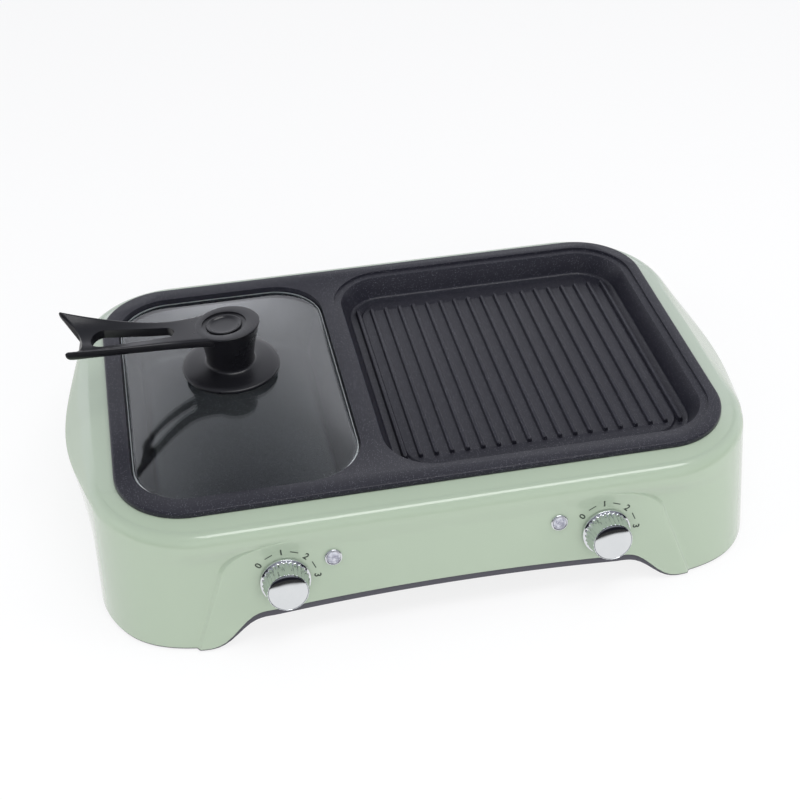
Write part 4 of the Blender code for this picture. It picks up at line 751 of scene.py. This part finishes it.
# Charcoal PTFE non-stick on cast aluminium: satin, with a faint violet cast, fine pale mineral
# specks about 0.4 mm across that are drawn at 0.6 mm to show, and a slight orange peel.
nonstick = new_material("nonstick_charcoal_coating", IOR=1.4)
lay_pattern(nonstick, 9.0, 3.0, tones=("#1a1a21", "#22222a"), gloss=(0.28, 0.38))
lay_pattern(nonstick, 420.0, 2.0, relief=(0.1, 0.0003))
tree = nonstick.node_tree
coloured = tree.nodes["Principled BSDF"].inputs["Base Color"]
cells = add_node(
    tree, "TexVoronoi", {"Scale": 960.0, "Randomness": 1.0},
    {"Vector": add_node(tree, "TexCoord").outputs["Object"]})
speck = add_node(
    tree, "ValToRGB", links={"Fac": cells.outputs["Distance"]},
    stops=((0.14, (1, 1, 1, 1)), (0.24, (0, 0, 0, 1))))
some = add_node(tree, "Math", {1: 0.36}, {0: cells.outputs["Color"]}, operation="GREATER_THAN")
share = add_node(tree, "Math", links={0: speck.outputs["Color"], 1: some.outputs[0]}, operation="MULTIPLY")
faint = add_node(tree, "Math", {1: 0.4}, {0: share.outputs[0]}, operation="MULTIPLY")
coat = add_node(
    tree, "Mix", {7: hex_colour("#a4a3ad")},
    {0: faint.outputs[0], 6: coloured.links[0].from_socket}, data_type="RGBA")
tree.links.new(coat.outputs[2], coloured)
hand_in(plate, "cooker", nonstick, "nonstick_casting", "cooking_plate")


# Inside the cooker: galvanised clips and heat shields, sheathed elements, cutouts and switches.
# They keep the shape of their solids and get their own metals and plastics.

# Galvanised sheet: dull silver with the large soft patches of zinc crystals, about 12 mm across.
galvanised = new_material("galvanised_steel_sheet", Metallic=1.0)
lay_pattern(
    galvanised, 85.0, 0.0, tones=("#a3a7ab", "#c3c6c9"), gloss=(0.3, 0.5),
    kind="TexVoronoi", output="Color")

# Heater sheath: stainless tube, heat-tinted in soft grey-brown patches about 30 mm long.
sheath = new_material("element_stainless_sheath", Metallic=1.0, Roughness=0.44)
lay_pattern(sheath, 30.0, 4.0, tones=("#6f6a66", "#94908d"))

# Nickel-plated brass of pins and shafts: warm pale metal with a fine drawn mottle.
brass = new_material("nickel_plated_brass", Metallic=1.0, Roughness=0.26)
lay_pattern(brass, 700.0, 3.0, tones=("#b9ad8c", "#d3c9ab"))

# Black phenolic of switches and inlet: hard and dense, with a faint satin mould texture.
phenolic = new_material(
    "black_phenolic_moulding", Roughness=0.42, IOR=1.6, Base_Color=hex_colour("#1d1d1f"))
lay_pattern(phenolic, 1300.0, 2.0, relief=(0.1, 0.0002))


def dress(finish, slot, *nodes):
    """Gives nodes that keep the shape of their solids a material. The slot is not used."""
    for node in nodes:
        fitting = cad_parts[node]
        fitting.data.materials.clear()
        fitting.data.materials.append(finish)


for end in ("front", "back"):
    dress(galvanised, "steel_sheet", f"divider_{end}_plate_clip", f"grill_{end}_plate_clip")
    dress(zinc_plate, "screw_zinc", f"divider_{end}_clip_screw", f"grill_{end}_clip_screw")
    dress(zinc_plate, "screw_zinc", f"pot_{end}_shield_screw", f"grill_{end}_shield_screw")
for place in ("pot", "grill"):
    dress(galvanised, "steel_sheet", f"{place}_heat_shield", f"{place}_thermal_cutout")
    dress(sheath, "element_sheath", f"{place}_heating_element")
for side in ("left", "right"):
    dress(phenolic, "black_phenolic", f"{side}_switch_body")
    dress(zinc_plate, "steel_sheet", f"{side}_switch_nut")
    dress(brass, "contact_brass", f"{side}_switch_shaft")
dress(brass, "contact_brass", "inlet_live_pin", "inlet_neutral_pin", "inlet_earth_pin")


# Cord inlet on the back: a black phenolic socket in a window of the wall, with its flange outside,
# three pins in its hollow and a screw at each end.

INLET_DEPTH = 0.02
inlet = rounded_block("inlet_flange", (0, 0.025, 0.0125, 0.01), GAP, 0.0015, 12)
draw_end(inlet, 1, quarter_round(0.0006, 3))
tub = rounded_block("inlet_tub", (0, 0.0151, 0.0114, 0.0056), -INLET_DEPTH - 0.0016, 0.001, 8)
carve(inlet, tub, "UNION")
carve(inlet, rounded_block("mouth", (0, 0.0135, 0.0098, 0.004), -INLET_DEPTH, 0.004, 8))
for x, y in ((0.007, -0.0018), (-0.007, -0.0018), (0, 0.0022)):
    carve(inlet, block("pin_slot", x, y + HOUSING_Y, -0.03, -0.015, 0.0013, 0.0023))
for x in (-INLET_SCREW_X, INLET_SCREW_X):
    carve(inlet, cylinder("screw_hole", x, HOUSING_Y, -0.005, 0.005, INLET_SCREW_HOLE, 24))
rounded(inlet, 0.00025)
settle(inlet, Matrix.Translation((0, -HOUSING_Y, 0)))
settle(inlet, inlet_mount)
hand_in(inlet, "cooker", phenolic, "black_phenolic", "inlet_socket")
for side, x in (("left", INLET_SCREW_X), ("right", -INLET_SCREW_X)):
    screw = cross_head_screw("inlet_screw_" + side, 0.0017, 0.008, 0.0034, 0.0018)
    over = Matrix.Rotation(pi, 4, "X")
    settle(screw, inlet_mount @ Matrix.Translation((x, 0, 0.0024)) @ over)
    hand_in(screw, "cooker", zinc_plate, "screw_zinc", f"inlet_{side}_screw")


# Knobs: a chrome-plated ABS barrel with thirty moulded flutes above a plain bright skirt, and a
# polished domed cap pressed into its front. Each turns on its switch shaft.

FLUTES = 30
FLUTE_FACETS = 8
KNOB_SECTION = [  # radius, height, share of the flutes' depth
    (0, 0.0153, 0), (0.006, 0.0153, 0), (0.014, 0.0153, 0), (0.01405, 0.0162, 0), (0.01415, 0.0168, 0),
    (0.01435, 0.017, 0), (0.01465, 0.01695, 0.1), (0.0149, 0.0167, 0.5), (0.01508, 0.0163, 0.9),
    (0.01518, 0.0156, 1), (0.0155, 0.0135, 1), (0.0159, 0.0105, 1), (0.0163, 0.008, 1),
    (0.01665, 0.0058, 1), (0.01685, 0.0045, 1), (0.017, 0.0039, 0.9), (0.01712, 0.0036, 0.5),
    (0.01725, 0.0034, 0.15), (0.01745, 0.0032, 0), (0.01775, 0.0031, 0), (0.018, 0.003, 0),
    (0.01818, 0.0028, 0), (0.01828, 0.0025, 0), (0.01832, 0.0021, 0), (0.01832, 0.001, 0),
    (0.01826, 0.0007, 0), (0.01815, 0.0006, 0), (0.0143, 0.0006, 0), (0.0121, 0.0131, 0),
    (0.00553, 0.0131, 0), (0.00553, 0.005, 0), (0.00333, 0.005, 0), (0.00333, 0.0134, 0), (0, 0.0134, 0)]


def knob_point(column, row):
    radius, height, flute = KNOB_SECTION[row]
    angle = 2 * pi * column / (FLUTES * FLUTE_FACETS)
    wave = 0.5 - 0.5 * cos(FLUTES * angle)
    reach = radius - 0.00085 * flute * wave ** 0.7
    return Vector((reach * cos(angle), reach * sin(angle), height))


# Bright chrome over ABS: a mirror with only a trace of haze and the faint waviness of its moulding.
chrome = new_material("bright_chrome_plating", Metallic=1.0)
lay_pattern(chrome, 60.0, 3.0, tones=("#dcdfe2", "#e8eaec"), gloss=(0.05, 0.11))
lay_pattern(chrome, 110.0, 0.0, relief=(0.25, 0.0005))

for side, sign in SIDES:
    mount = wall_mount(sign * KNOB_X, KNOB_HEIGHT, -1)
    barrel = wrapped_grid(f"{side}_knob", FLUTES * FLUTE_FACETS, len(KNOB_SECTION) - 1, knob_point)
    smooth(barrel, 50)
    settle(barrel, mount)
    hand_in(barrel, f"{side}_knob", chrome, "chrome_plating", f"{side}_knob_barrel")
    cap = turned(f"{side}_knob_face", [
        (0, 0.0156), (0.0136, 0.0156), (0.01388, 0.0159), (0.01392, 0.0168), (0.01385, 0.01698),
        (0.0136, 0.0171), (0.0128, 0.01736), (0.0112, 0.01773), (0.0092, 0.01806), (0.007, 0.01832),
        (0.0045, 0.0185), (0.002, 0.01858), (0, 0.0186)], 96)
    smooth(cap, 40)
    settle(cap, mount)
    hand_in(cap, f"{side}_knob", chrome, "chrome_plating", f"{side}_knob_cap")


# Lamps: a clear polycarbonate lens with a moulded grid of bars, pressed into a thin chrome bezel
# beside each knob.

# Clear polycarbonate over a grey-violet reflector: bright, a little cloudy between its bars.
lens_clear = new_material(
    "clear_polycarbonate_lens", Roughness=0.1, IOR=1.58, Transmission_Weight=0.25, Coat_Weight=0.6)
lay_pattern(lens_clear, 380.0, 2.0, tones=("#9a9ba8", "#d8d9e2"), stops=(0.35, 0.65))

LENS_RINGS = 30
LENS_COLUMNS = 72
LENS_RADIUS = 0.005
LENS_BACK = ((LENS_RADIUS, 0.0012), (0.0034, 0.0012), (0.0034, -0.0088), (0, -0.0088))
BAR_PITCH = 0.002
BAR_RISE = 0.00035


def lens_point(column, row):
    """Out over the domed face, and back along the lens's foot."""
    if row > LENS_RINGS:
        radius, height = LENS_BACK[row - LENS_RINGS - 1]
    else:
        radius = LENS_RADIUS * row / LENS_RINGS
        height = 0.0024 - 0.001 * (row / LENS_RINGS) ** 2
    angle = 2 * pi * column / LENS_COLUMNS
    x = radius * cos(angle)
    y = radius * sin(angle)
    if row < LENS_RINGS - 1:
        bars = max(0.5 + 0.5 * cos(2 * pi * place / BAR_PITCH) for place in (x, y))
        height += BAR_RISE * bars ** 2
    return Vector((x, y, height))


for side, sign in SIDES:
    mount = wall_mount(sign * LAMP_X, LAMP_HEIGHT, -1)
    bezel = turned(f"{side}_lamp_ring", [
        (0.0037, -0.009), (0.0046, -0.009), (0.0046, 0.0003), (0.0065, 0.0003), (0.0065, 0.0007),
        (0.0063, 0.0012), (0.0059, 0.0015), (0.0055, 0.0015), (0.0052, 0.0013), (0.0051, 0.0009),
        (0.0037, 0.0009), (0.0037, -0.009)], LENS_COLUMNS)
    smooth(bezel, 40)
    settle(bezel, mount)
    hand_in(bezel, "cooker", chrome, "chrome_plating", f"{side}_lamp_bezel")
    lens = wrapped_grid(f"{side}_lamp", LENS_COLUMNS, LENS_RINGS + len(LENS_BACK), lens_point)
    smooth(lens, 50)
    settle(lens, mount)
    hand_in(lens, "cooker", lens_clear, "lens_clear", f"{side}_lamp_lens")


# Dial marks: plain numbers 0 to 3 with a dash between each pair, pad-printed in dark green-grey ink
# round the upper right of each knob.

MARK_RADIUS = 0.0232
DIGIT_SIZE = 0.007
DIGIT_BOLDNESS = 0.00017
DIGIT_ANGLES = (140, 93, 46, 0)
DASH_SIZE = (0.006, 0.00075, 1)
DASH_ANGLES = (116.5, 69.5, 23)
INK_THICKNESS = 0.00006

# Pad-printing ink: a thin, dense, slightly matt film with a broken edge of less than 0.1 mm.
ink = new_material("pad_printing_ink_dark_green", Roughness=0.5, IOR=1.48)
lay_pattern(ink, 1500.0, 3.0, tones=("#2b332b", "#3a433a"))


def on_dial(angle):
    """The frame of a mark that stands upright at an angle of the dial, from the right."""
    return Matrix.Rotation(radians(angle - 90), 4, "Z") @ Matrix.Translation((0, MARK_RADIUS, 0))


def lay_on_wall(piece, x):
    """Bends a flat mark, drawn in the XY plane round the knob's middle, onto the front wall."""
    for vertex in piece.data.vertices:
        across, up, out = vertex.co
        z = KNOB_HEIGHT + up * cos(WALL_LEAN) + out * sin(WALL_LEAN)
        y = -(wall_size(z)[1] - panel_hollow(z)) + HOUSING_Y
        vertex.co = (x + across, y - out * cos(WALL_LEAN), z)


for side, sign in SIDES:
    marks = []
    for number, angle in enumerate(DIGIT_ANGLES):
        digit = primitive("digit", bpy.ops.object.text_add)
        digit.data.body = str(number)
        digit.data.size = DIGIT_SIZE
        digit.data.align_x = digit.data.align_y = "CENTER"
        digit.data.offset = DIGIT_BOLDNESS
        bpy.ops.object.convert(target="MESH")
        marks.append(settle(bpy.context.view_layer.objects.active, on_dial(angle)))
    for angle in DASH_ANGLES:
        dash = primitive(
            "dash", bpy.ops.mesh.primitive_grid_add, x_subdivisions=6, y_subdivisions=1, size=1)
        dash.scale = DASH_SIZE
        marks.append(settle(settle(dash), on_dial(angle)))
    marks = join(marks)
    marks.name = marks.data.name = f"{side}_dial_marks"
    modify(marks, "SOLIDIFY", thickness=INK_THICKNESS, offset=0)
    marks.data.transform(Matrix.Translation((0, 0, INK_THICKNESS)))
    lay_on_wall(marks, sign * KNOB_X)
    hand_in(marks, "cooker", ink, "housing_green")


# Lid glass: tempered soda-lime glass, 3.5 mm thick, slumped to a 19.5 mm dome. Its ground edge is
# pale and sits in the pot well's ledge. A hole in its middle takes the handle's screw.

SEAT = Vector((POT[0], HOUSING_Y, PLATE_TOP - POT_LEDGE))
GLASS = (0.0831, 0.1263, 0.0408)
DOME = 0.0195
GLASS_THICKNESS = 0.0035
GLASS_RINGS = 34
EDGE_ROWS = 5
EDGE_BULGE = 0.0009
GROUND_WIDTH = 0.0012


def rounded_outline(half_x, half_y, radius, corner_steps=12, side_steps=8):
    """Counterclockwise points of a rounded rectangle with points along its straight sides too."""
    def on_corner(turn, angle):
        x, y = ((1, 1), (-1, 1), (-1, -1), (1, -1))[turn % 4]
        return Vector((
            x * (half_x - radius) + radius * cos(angle), y * (half_y - radius) + radius * sin(angle)))

    points = []
    for turn in range(4):
        for step in range(corner_steps + 1):
            points.append(on_corner(turn, (turn + step / corner_steps) * pi / 2))
        start, after = points[-1], on_corner(turn + 1, (turn + 1) * pi / 2)
        points += [start.lerp(after, step / side_steps) for step in range(1, side_steps)]
    return points


glass_outline = rounded_outline(*GLASS)


def dome_share(point):
    return (1 - (point.x / GLASS[0]) ** 2) * (1 - (point.y / GLASS[1]) ** 2)


def glass_point(column, row):
    """Out along the underside, round the edge and back along the top."""
    edge = glass_outline[column % len(glass_outline)]
    if row <= GLASS_RINGS:
        share = row / GLASS_RINGS
        height = 0
    elif row <= GLASS_RINGS + EDGE_ROWS:
        angle = pi * (row - GLASS_RINGS) / (EDGE_ROWS + 1)
        share = 1 + EDGE_BULGE * sin(angle) / GLASS[0]
        height = GLASS_THICKNESS * (0.5 - 0.5 * cos(angle))
    else:
        share = 1 - (row - GLASS_RINGS - EDGE_ROWS - 1) / GLASS_RINGS
        height = GLASS_THICKNESS
    within = min(share, 1)
    rise = DOME * (dome_share(edge * within) - dome_share(edge) * within ** 4)
    share = share * (1 - EDGE_BULGE / GLASS[0])
    return SEAT + Vector((edge.x * share, edge.y * share, GAP + rise + height))


glass = wrapped_grid("lid_dome", len(glass_outline), 2 * GLASS_RINGS + EDGE_ROWS + 1, glass_point)
carve(glass, cylinder("hole", SEAT.x, SEAT.y, SEAT.z, SEAT.z + 0.03, 0.0032, 32))
smooth(glass, 40)

# Tempered glass, polished and clear with the faint green of its iron.
lid_glass = new_material(
    "tempered_lid_glass", Roughness=0.0, IOR=1.5, Transmission_Weight=1.0,
    Base_Color=hex_colour("#f4f9f7"))
lay_pattern(lid_glass, 14.0, 1.0, relief=(0.008, 0.0004))

# The same glass where its edge is ground: frosted, so it scatters light and looks pale.
ground_edge = new_material("ground_glass_edge", Roughness=0.35, IOR=1.5, Transmission_Weight=0.15)
lay_pattern(ground_edge, 1400.0, 2.0, tones=("#d3dcdc", "#eef3f2"))
glass.data.materials.append(lid_glass)
glass.data.materials.append(ground_edge)
for polygon in glass.data.polygons:
    away = polygon.center - SEAT
    past_corner = Vector((
        max(abs(away.x) - GLASS[0] + GLASS[2], 0), max(abs(away.y) - GLASS[1] + GLASS[2], 0)))
    if GLASS[2] - past_corner.length < GROUND_WIDTH:
        polygon.material_index = 1
hand_in(glass, "lid", lid_glass, "clear_glass", "lid_glass")


# Lid handle: flange, hub and forked arm in one glass-filled nylon moulding. A screw from under the
# glass holds it, a cap covers its nut, and the forked tail props the lid on the pot's edge.

GLASS_TOP = GAP + DOME + GLASS_THICKNESS
FLANGE_LOW = GLASS_TOP + 2 * GAP
FLANGE_TOP = FLANGE_LOW + 0.0032
HUB_FOOT = FLANGE_TOP + 0.0016
HANDLE_TOP = HUB_FOOT + 0.034
HUB_UNDER = HANDLE_TOP - 0.0075
GASKET_LOW = GLASS_TOP + GAP
HUB_LOW = GASKET_LOW + 0.0012 + GAP
CAP_TOP = HANDLE_TOP - 0.0004
CAP_SHIFT = Vector((-0.0025, 0, 0))
ARM_TOP = HANDLE_TOP - 0.0001
ARM_ROOT = 0.012
ARM_WAIST = 0.045
ARM_LENGTH = 0.123
ARM_ROOT_HALF = 0.0205
ARM_WAIST_HALF = 0.0152
ARM_TIP_HALF = 0.0272
ARM_THICKNESS = 0.007
ARM_STATIONS = 60
SECTION_ACROSS = 16
FORK_DEPTH = 0.0145
NEAR_PRONG_SHORT = 0.0035
CURL_START = 0.027
CURL_RISE = 0.0141
ARM_SLOT_ENDS = ((0.04, 0.0062, -1), (0.102, 0.0105, 1))  # reach, half width, which end


def hub_radius(depth):
    """The hub flares from its foot to its top, which is a depth of 0."""
    return 0.0183 + 0.0066 * max(0, 1 - depth / 0.03) ** 1.7


hub_heights = [0.005 + 0.00148 * i for i in range(21)]
handle = turned("lid_grip", [
    (0, HUB_LOW), (0.0136, HUB_LOW), (0.0148, FLANGE_LOW), (0.0366, FLANGE_LOW),
    (0.0374, FLANGE_LOW + 0.0007), (0.0374, FLANGE_TOP - 0.0011), (0.0371, FLANGE_TOP - 0.0005),
    (0.0363, FLANGE_TOP), (0.032, FLANGE_TOP + 0.0009), (0.026, FLANGE_TOP + 0.0019),
    (0.0206, FLANGE_TOP + 0.0027), (0.0194, FLANGE_TOP + 0.0031), (0.0187, FLANGE_TOP + 0.0038),
    *((hub_radius(HANDLE_TOP - FLANGE_TOP - z), FLANGE_TOP + z) for z in hub_heights),
    (0.0245, HANDLE_TOP - 0.0004), (0.0242, HANDLE_TOP - 0.0001), (0.0236, HANDLE_TOP), (0, HANDLE_TOP)], 96)


def arm_section(half):
    """Closed outline of the arm's cross-section: flat above and below with rounded sides."""
    return rounded_outline(half, ARM_THICKNESS / 2, 0.0026, 6, SECTION_ACROSS)


def arm_point(column, row):
    """Out from the hub to the fork's tips, whose middle stays back and whose edges curl up."""
    station = mix(ARM_ROOT, ARM_LENGTH, row / ARM_STATIONS)
    along = (station - ARM_ROOT) / (ARM_LENGTH - ARM_ROOT)
    if station < ARM_WAIST:
        half = mix(ARM_WAIST_HALF, ARM_ROOT_HALF, ((ARM_WAIST - station) / (ARM_WAIST - ARM_ROOT)) ** 1.5)
    else:
        half = mix(ARM_WAIST_HALF, ARM_TIP_HALF, ((station - ARM_WAIST) / (ARM_LENGTH - ARM_WAIST)) ** 1.5)
    centre = station - FORK_DEPTH * smoothstep(0.5, 1, along)
    section = arm_section(half)
    point = section[column % len(section)]
    share = point.x / half
    tip = station - (NEAR_PRONG_SHORT * along ** 4 if share < 0 else 0)
    reach = mix(centre, tip, share * share)
    past_start = max(0, reach - CURL_START) / (ARM_LENGTH - CURL_START)
    curl = CURL_RISE * (past_start * abs(share)) ** 1.75
    sag = 0.0007 * smoothstep(0.024, 0.045, reach)
    return Vector((-reach, point.x, ARM_TOP - ARM_THICKNESS / 2 + point.y + curl - sag))


arm = wrapped_grid("arm", len(arm_section(ARM_TIP_HALF)), ARM_STATIONS, arm_point)
open_edit(arm)
bpy.ops.mesh.select_all(action="DESELECT")
bpy.ops.mesh.select_mode(type="EDGE")
bpy.ops.mesh.select_non_manifold(extend=False, use_boundary=True)
bpy.ops.mesh.edge_face_add()
face_out()
close_edit()
break_edges(arm, 0.0021, 5, 50)

slot_points = []
for reach, half, end in ARM_SLOT_ENDS:
    for step in range(15):
        angle = end * pi / 2 + step / 14 * pi
        slot_points.append(Vector((half * cos(angle) - (reach - end * half), half * sin(angle), 0)))
slot_tool = primitive(
    "arm_slot", bpy.ops.mesh.primitive_circle_add, vertices=len(slot_points), radius=0.01, fill_type="NGON")
for vertex, point in zip(slot_tool.data.vertices, slot_points):
    vertex.co = point + Vector((0, 0, ARM_TOP - 0.015))
open_edit(slot_tool)
draw_out(0, 0, 0.035)
face_out()
close_edit()
carve(arm, slot_tool)
break_edges(arm, 0.0009, 4, 50)
carve(handle, arm, "UNION")
ring = turned("ring_recess", [
    (0, -0.0016), (0.016, -0.0016), (0.0165, -0.0014), (0.0172, 0.002), (0, 0.002)], 96, HANDLE_TOP)
carve(handle, settle(ring, Matrix.Translation(CAP_SHIFT)))
pocket = cylinder("cap_pocket", CAP_SHIFT.x, 0, HANDLE_TOP - 0.0032, HANDLE_TOP + 0.002, 0.0138, 96)
carve(handle, pocket)
carve(handle, turned("hollow", [
    (0, HUB_LOW + 0.005), (0.0053, HUB_LOW + 0.005), (0.0053, HUB_LOW + 0.0092), (0.006, HUB_LOW + 0.0102),
    (0.006, HANDLE_TOP - 0.003), (0, HANDLE_TOP - 0.003)], 64))
carve(handle, cylinder("shank", 0, 0, HUB_LOW - 0.002, HUB_LOW + 0.007, 0.0028, 32))
rounded(handle, 0.0005, 36)


def lean(piece):
    """Tips the hub's top towards the arm and away from the user, by a few degrees."""
    for vertex in piece.data.vertices:
        x, y, z = vertex.co
        tilt = 0.0014 + 0.055 * max(x, -0.0254) - 0.06 * y * smoothstep(-0.045, -0.02, x)
        vertex.co.z += tilt * smoothstep(HUB_UNDER - 0.004, HANDLE_TOP - 0.003, z)


lean(handle)
settle(handle, Matrix.Translation(SEAT))

# Glass-filled nylon 66, moulded satin: a deep neutral black with broad soft highlights, a fine
# mould grain of 0.3 mm drawn at 0.7 mm, and slight polish where it is held.
nylon = new_material("satin_black_nylon", IOR=1.53)
lay_pattern(nylon, 1400.0, 2.0, relief=(0.1, 0.0002))
lay_pattern(nylon, 40.0, 3.0, tones=("#0d0d10", "#131317"), gloss=(0.24, 0.34))
hand_in(handle, "lid", nylon, "handle_black", "lid_handle")

handle_cap = turned("lid_grip_cap", [
    (0, -0.0025), (0.0132, -0.0025), (0.0135, -0.0022), (0.0135, -0.0006), (0.0133, -0.0002), (0.0129, 0),
    (0.0123, 0), (0.0117, -0.0003), (0.011, -0.001), (0.0104, -0.0014), (0.0096, -0.0016),
    (0.007, -0.0018), (0.0035, -0.0019), (0, -0.0019)], 96, CAP_TOP)
smooth(handle_cap, 40)
settle(handle_cap, Matrix.Translation(CAP_SHIFT))
lean(handle_cap)
settle(handle_cap, Matrix.Translation(SEAT))
hand_in(handle_cap, "lid", nylon, "handle_black", "lid_handle_cap")

# Silicone gasket between glass and handle, and the steel washer, nut and screw that hold them.
silicone = new_material("black_silicone_rubber", Roughness=0.62, IOR=1.42)
lay_pattern(silicone, 300.0, 4.0, tones=("#2a2a2c", "#38383a"))
dress(silicone, "silicone", "lid_gasket")
dress(zinc_plate, "steel_sheet", "lid_washer", "lid_nut")
dress(zinc_plate, "screw_zinc", "lid_screw")


# Studio: a pale paper floor, whose mirror image is dark in front, a pale wall behind, a strip light
# and a softbox overhead, three fills, and the camera at the photograph's angle.

floor = primitive("studio_floor", bpy.ops.mesh.primitive_plane_add, size=12)

# Matt white paper that takes the object's shadow. The camera and glass see it white. Mirrors see it pale
# behind the object and nearly black in front, which is a painted dark reflection.
paper = new_material("studio_paper", Roughness=0.9, Base_Color=hex_colour("#f2f2f2"))
tree = paper.node_tree
shader = tree.nodes["Principled BSDF"]
rays = add_node(tree, "LightPath")
white_share = None
for ray, part in (("Is Camera Ray", 0.8), ("Is Glossy Ray", 1.0), ("Is Transmission Ray", 0.7)):
    seen = add_node(tree, "Math", {1: part}, {0: rays.outputs[ray]}, operation="MULTIPLY")
    if white_share is not None:
        seen = add_node(tree, "Math", links={0: white_share, 1: seen.outputs[0]}, operation="MAXIMUM")
    white_share = seen.outputs[0]
place = add_node(tree, "SeparateXYZ", links={"Vector": add_node(tree, "TexCoord").outputs["Object"]})
# Painted dark reflection: for mirror rays the paper's glow drops to nearly black in front of the object.
reach = add_node(
    tree, "MapRange", {"From Min": -0.62, "From Max": -0.46, "To Min": 0.04, "To Max": 0.92},
    {"Value": place.outputs["Y"]})
strength = add_node(tree, "Mix", {2: 1.0}, {0: rays.outputs["Is Glossy Ray"], 3: reach.outputs["Result"]})
white = add_node(tree, "Emission", {"Color": (1, 1, 1, 1)}, {"Strength": strength.outputs[0]})
blend = add_node(
    tree, "MixShader", links={0: white_share, 1: shader.outputs["BSDF"], 2: white.outputs["Emission"]})
tree.links.new(blend.outputs["Shader"], tree.nodes["Material Output"].inputs["Surface"])
floor.data.materials.append(paper)

# The room that the object mirrors. The camera sees plain white instead.
DARK_FRONT = (0.012, 0.012, 0.017, 1)
PALE_WALL = (0.92, 0.93, 1.0, 1)
CEILING = (0.3, 0.31, 0.35, 1)
world = bpy.data.worlds.new("studio")
bpy.context.scene.world = world
world.use_nodes = True
tree = world.node_tree
tree.nodes.clear()
rays = add_node(tree, "LightPath")
direction = add_node(tree, "SeparateXYZ", links={
    "Vector": add_node(tree, "TexCoord").outputs["Generated"]})
front, back = (
    add_node(tree, "ValToRGB", links={"Fac": direction.outputs["Z"]}, stops=stops)
    for stops in (((0.16, DARK_FRONT), (0.5, CEILING)), ((0.45, PALE_WALL), (0.95, CEILING))))
behind = add_node(
    tree, "MapRange", {"From Min": -0.25, "From Max": 0.4}, {"Value": direction.outputs["Y"]})
walls = add_node(
    tree, "Mix", data_type="RGBA",
    links={0: behind.outputs["Result"], 6: front.outputs["Color"], 7: back.outputs["Color"]})
room = add_node(tree, "Background", {"Strength": 1.15}, {"Color": walls.outputs[2]})
backdrop = add_node(tree, "Background", {"Color": (1, 1, 1, 1), "Strength": 1.0})
blend = add_node(
    tree, "MixShader",
    links={0: rays.outputs["Is Camera Ray"], 1: room.outputs[0], 2: backdrop.outputs[0]})
add_node(tree, "OutputWorld", links={"Surface": blend.outputs[0]})


def softbox(name, place, target, width, length, watts, mirrored=False):
    """An area light that faces a target, and that mirrors and glass show only where it is asked."""
    lamp = primitive(name, bpy.ops.object.light_add, type="AREA", location=place)
    lamp.data.shape = "RECTANGLE"
    lamp.data.size = width
    lamp.data.size_y = length
    lamp.data.energy = watts
    aim = Vector(target) - Vector(place)
    lamp.rotation_euler = aim.to_track_quat("-Z", "Y").to_euler()
    lamp.visible_glossy = mirrored
    lamp.visible_transmission = mirrored


softbox("strip_overhead", (0.3, -0.38, 1.58), (0.2, -0.15, 0.1), 1.3, 0.46, 8.5, mirrored=True)
softbox("softbox_overhead", (0.3, 0.3, 1.6), (0.1, 0.05, 0.1), 1.2, 0.8, 1.5)
softbox("fill_front", (0.0, -2.0, 0.7), (0, 0, 0.06), 2.6, 1.2, 28.5)
softbox("fill_left", (-1.6, -0.3, 0.8), (0, 0, 0.05), 0.8, 1.2, 10)
softbox("fill_right", (1.6, -0.6, 0.7), (0, 0, 0.05), 0.8, 1.2, 8)

view = bpy.data.cameras.new("photo_view")
view.sensor_width = 36.0
view.lens = 64.01
camera = bpy.data.objects.new("photo_view", view)
bpy.context.collection.objects.link(camera)
bpy.context.scene.camera = camera
right = Vector((0.97902054, -0.2035062, -0.01019837))
down = Vector((-0.13320686, -0.60134735, -0.78780537))
ahead = Vector((0.15419052, 0.77263613, -0.61583983))
turn = Matrix((right, -down, -ahead)).transposed()
camera.matrix_world = Matrix.Translation((-0.17815, -0.88506, 0.77286)) @ turn.to_4x4()
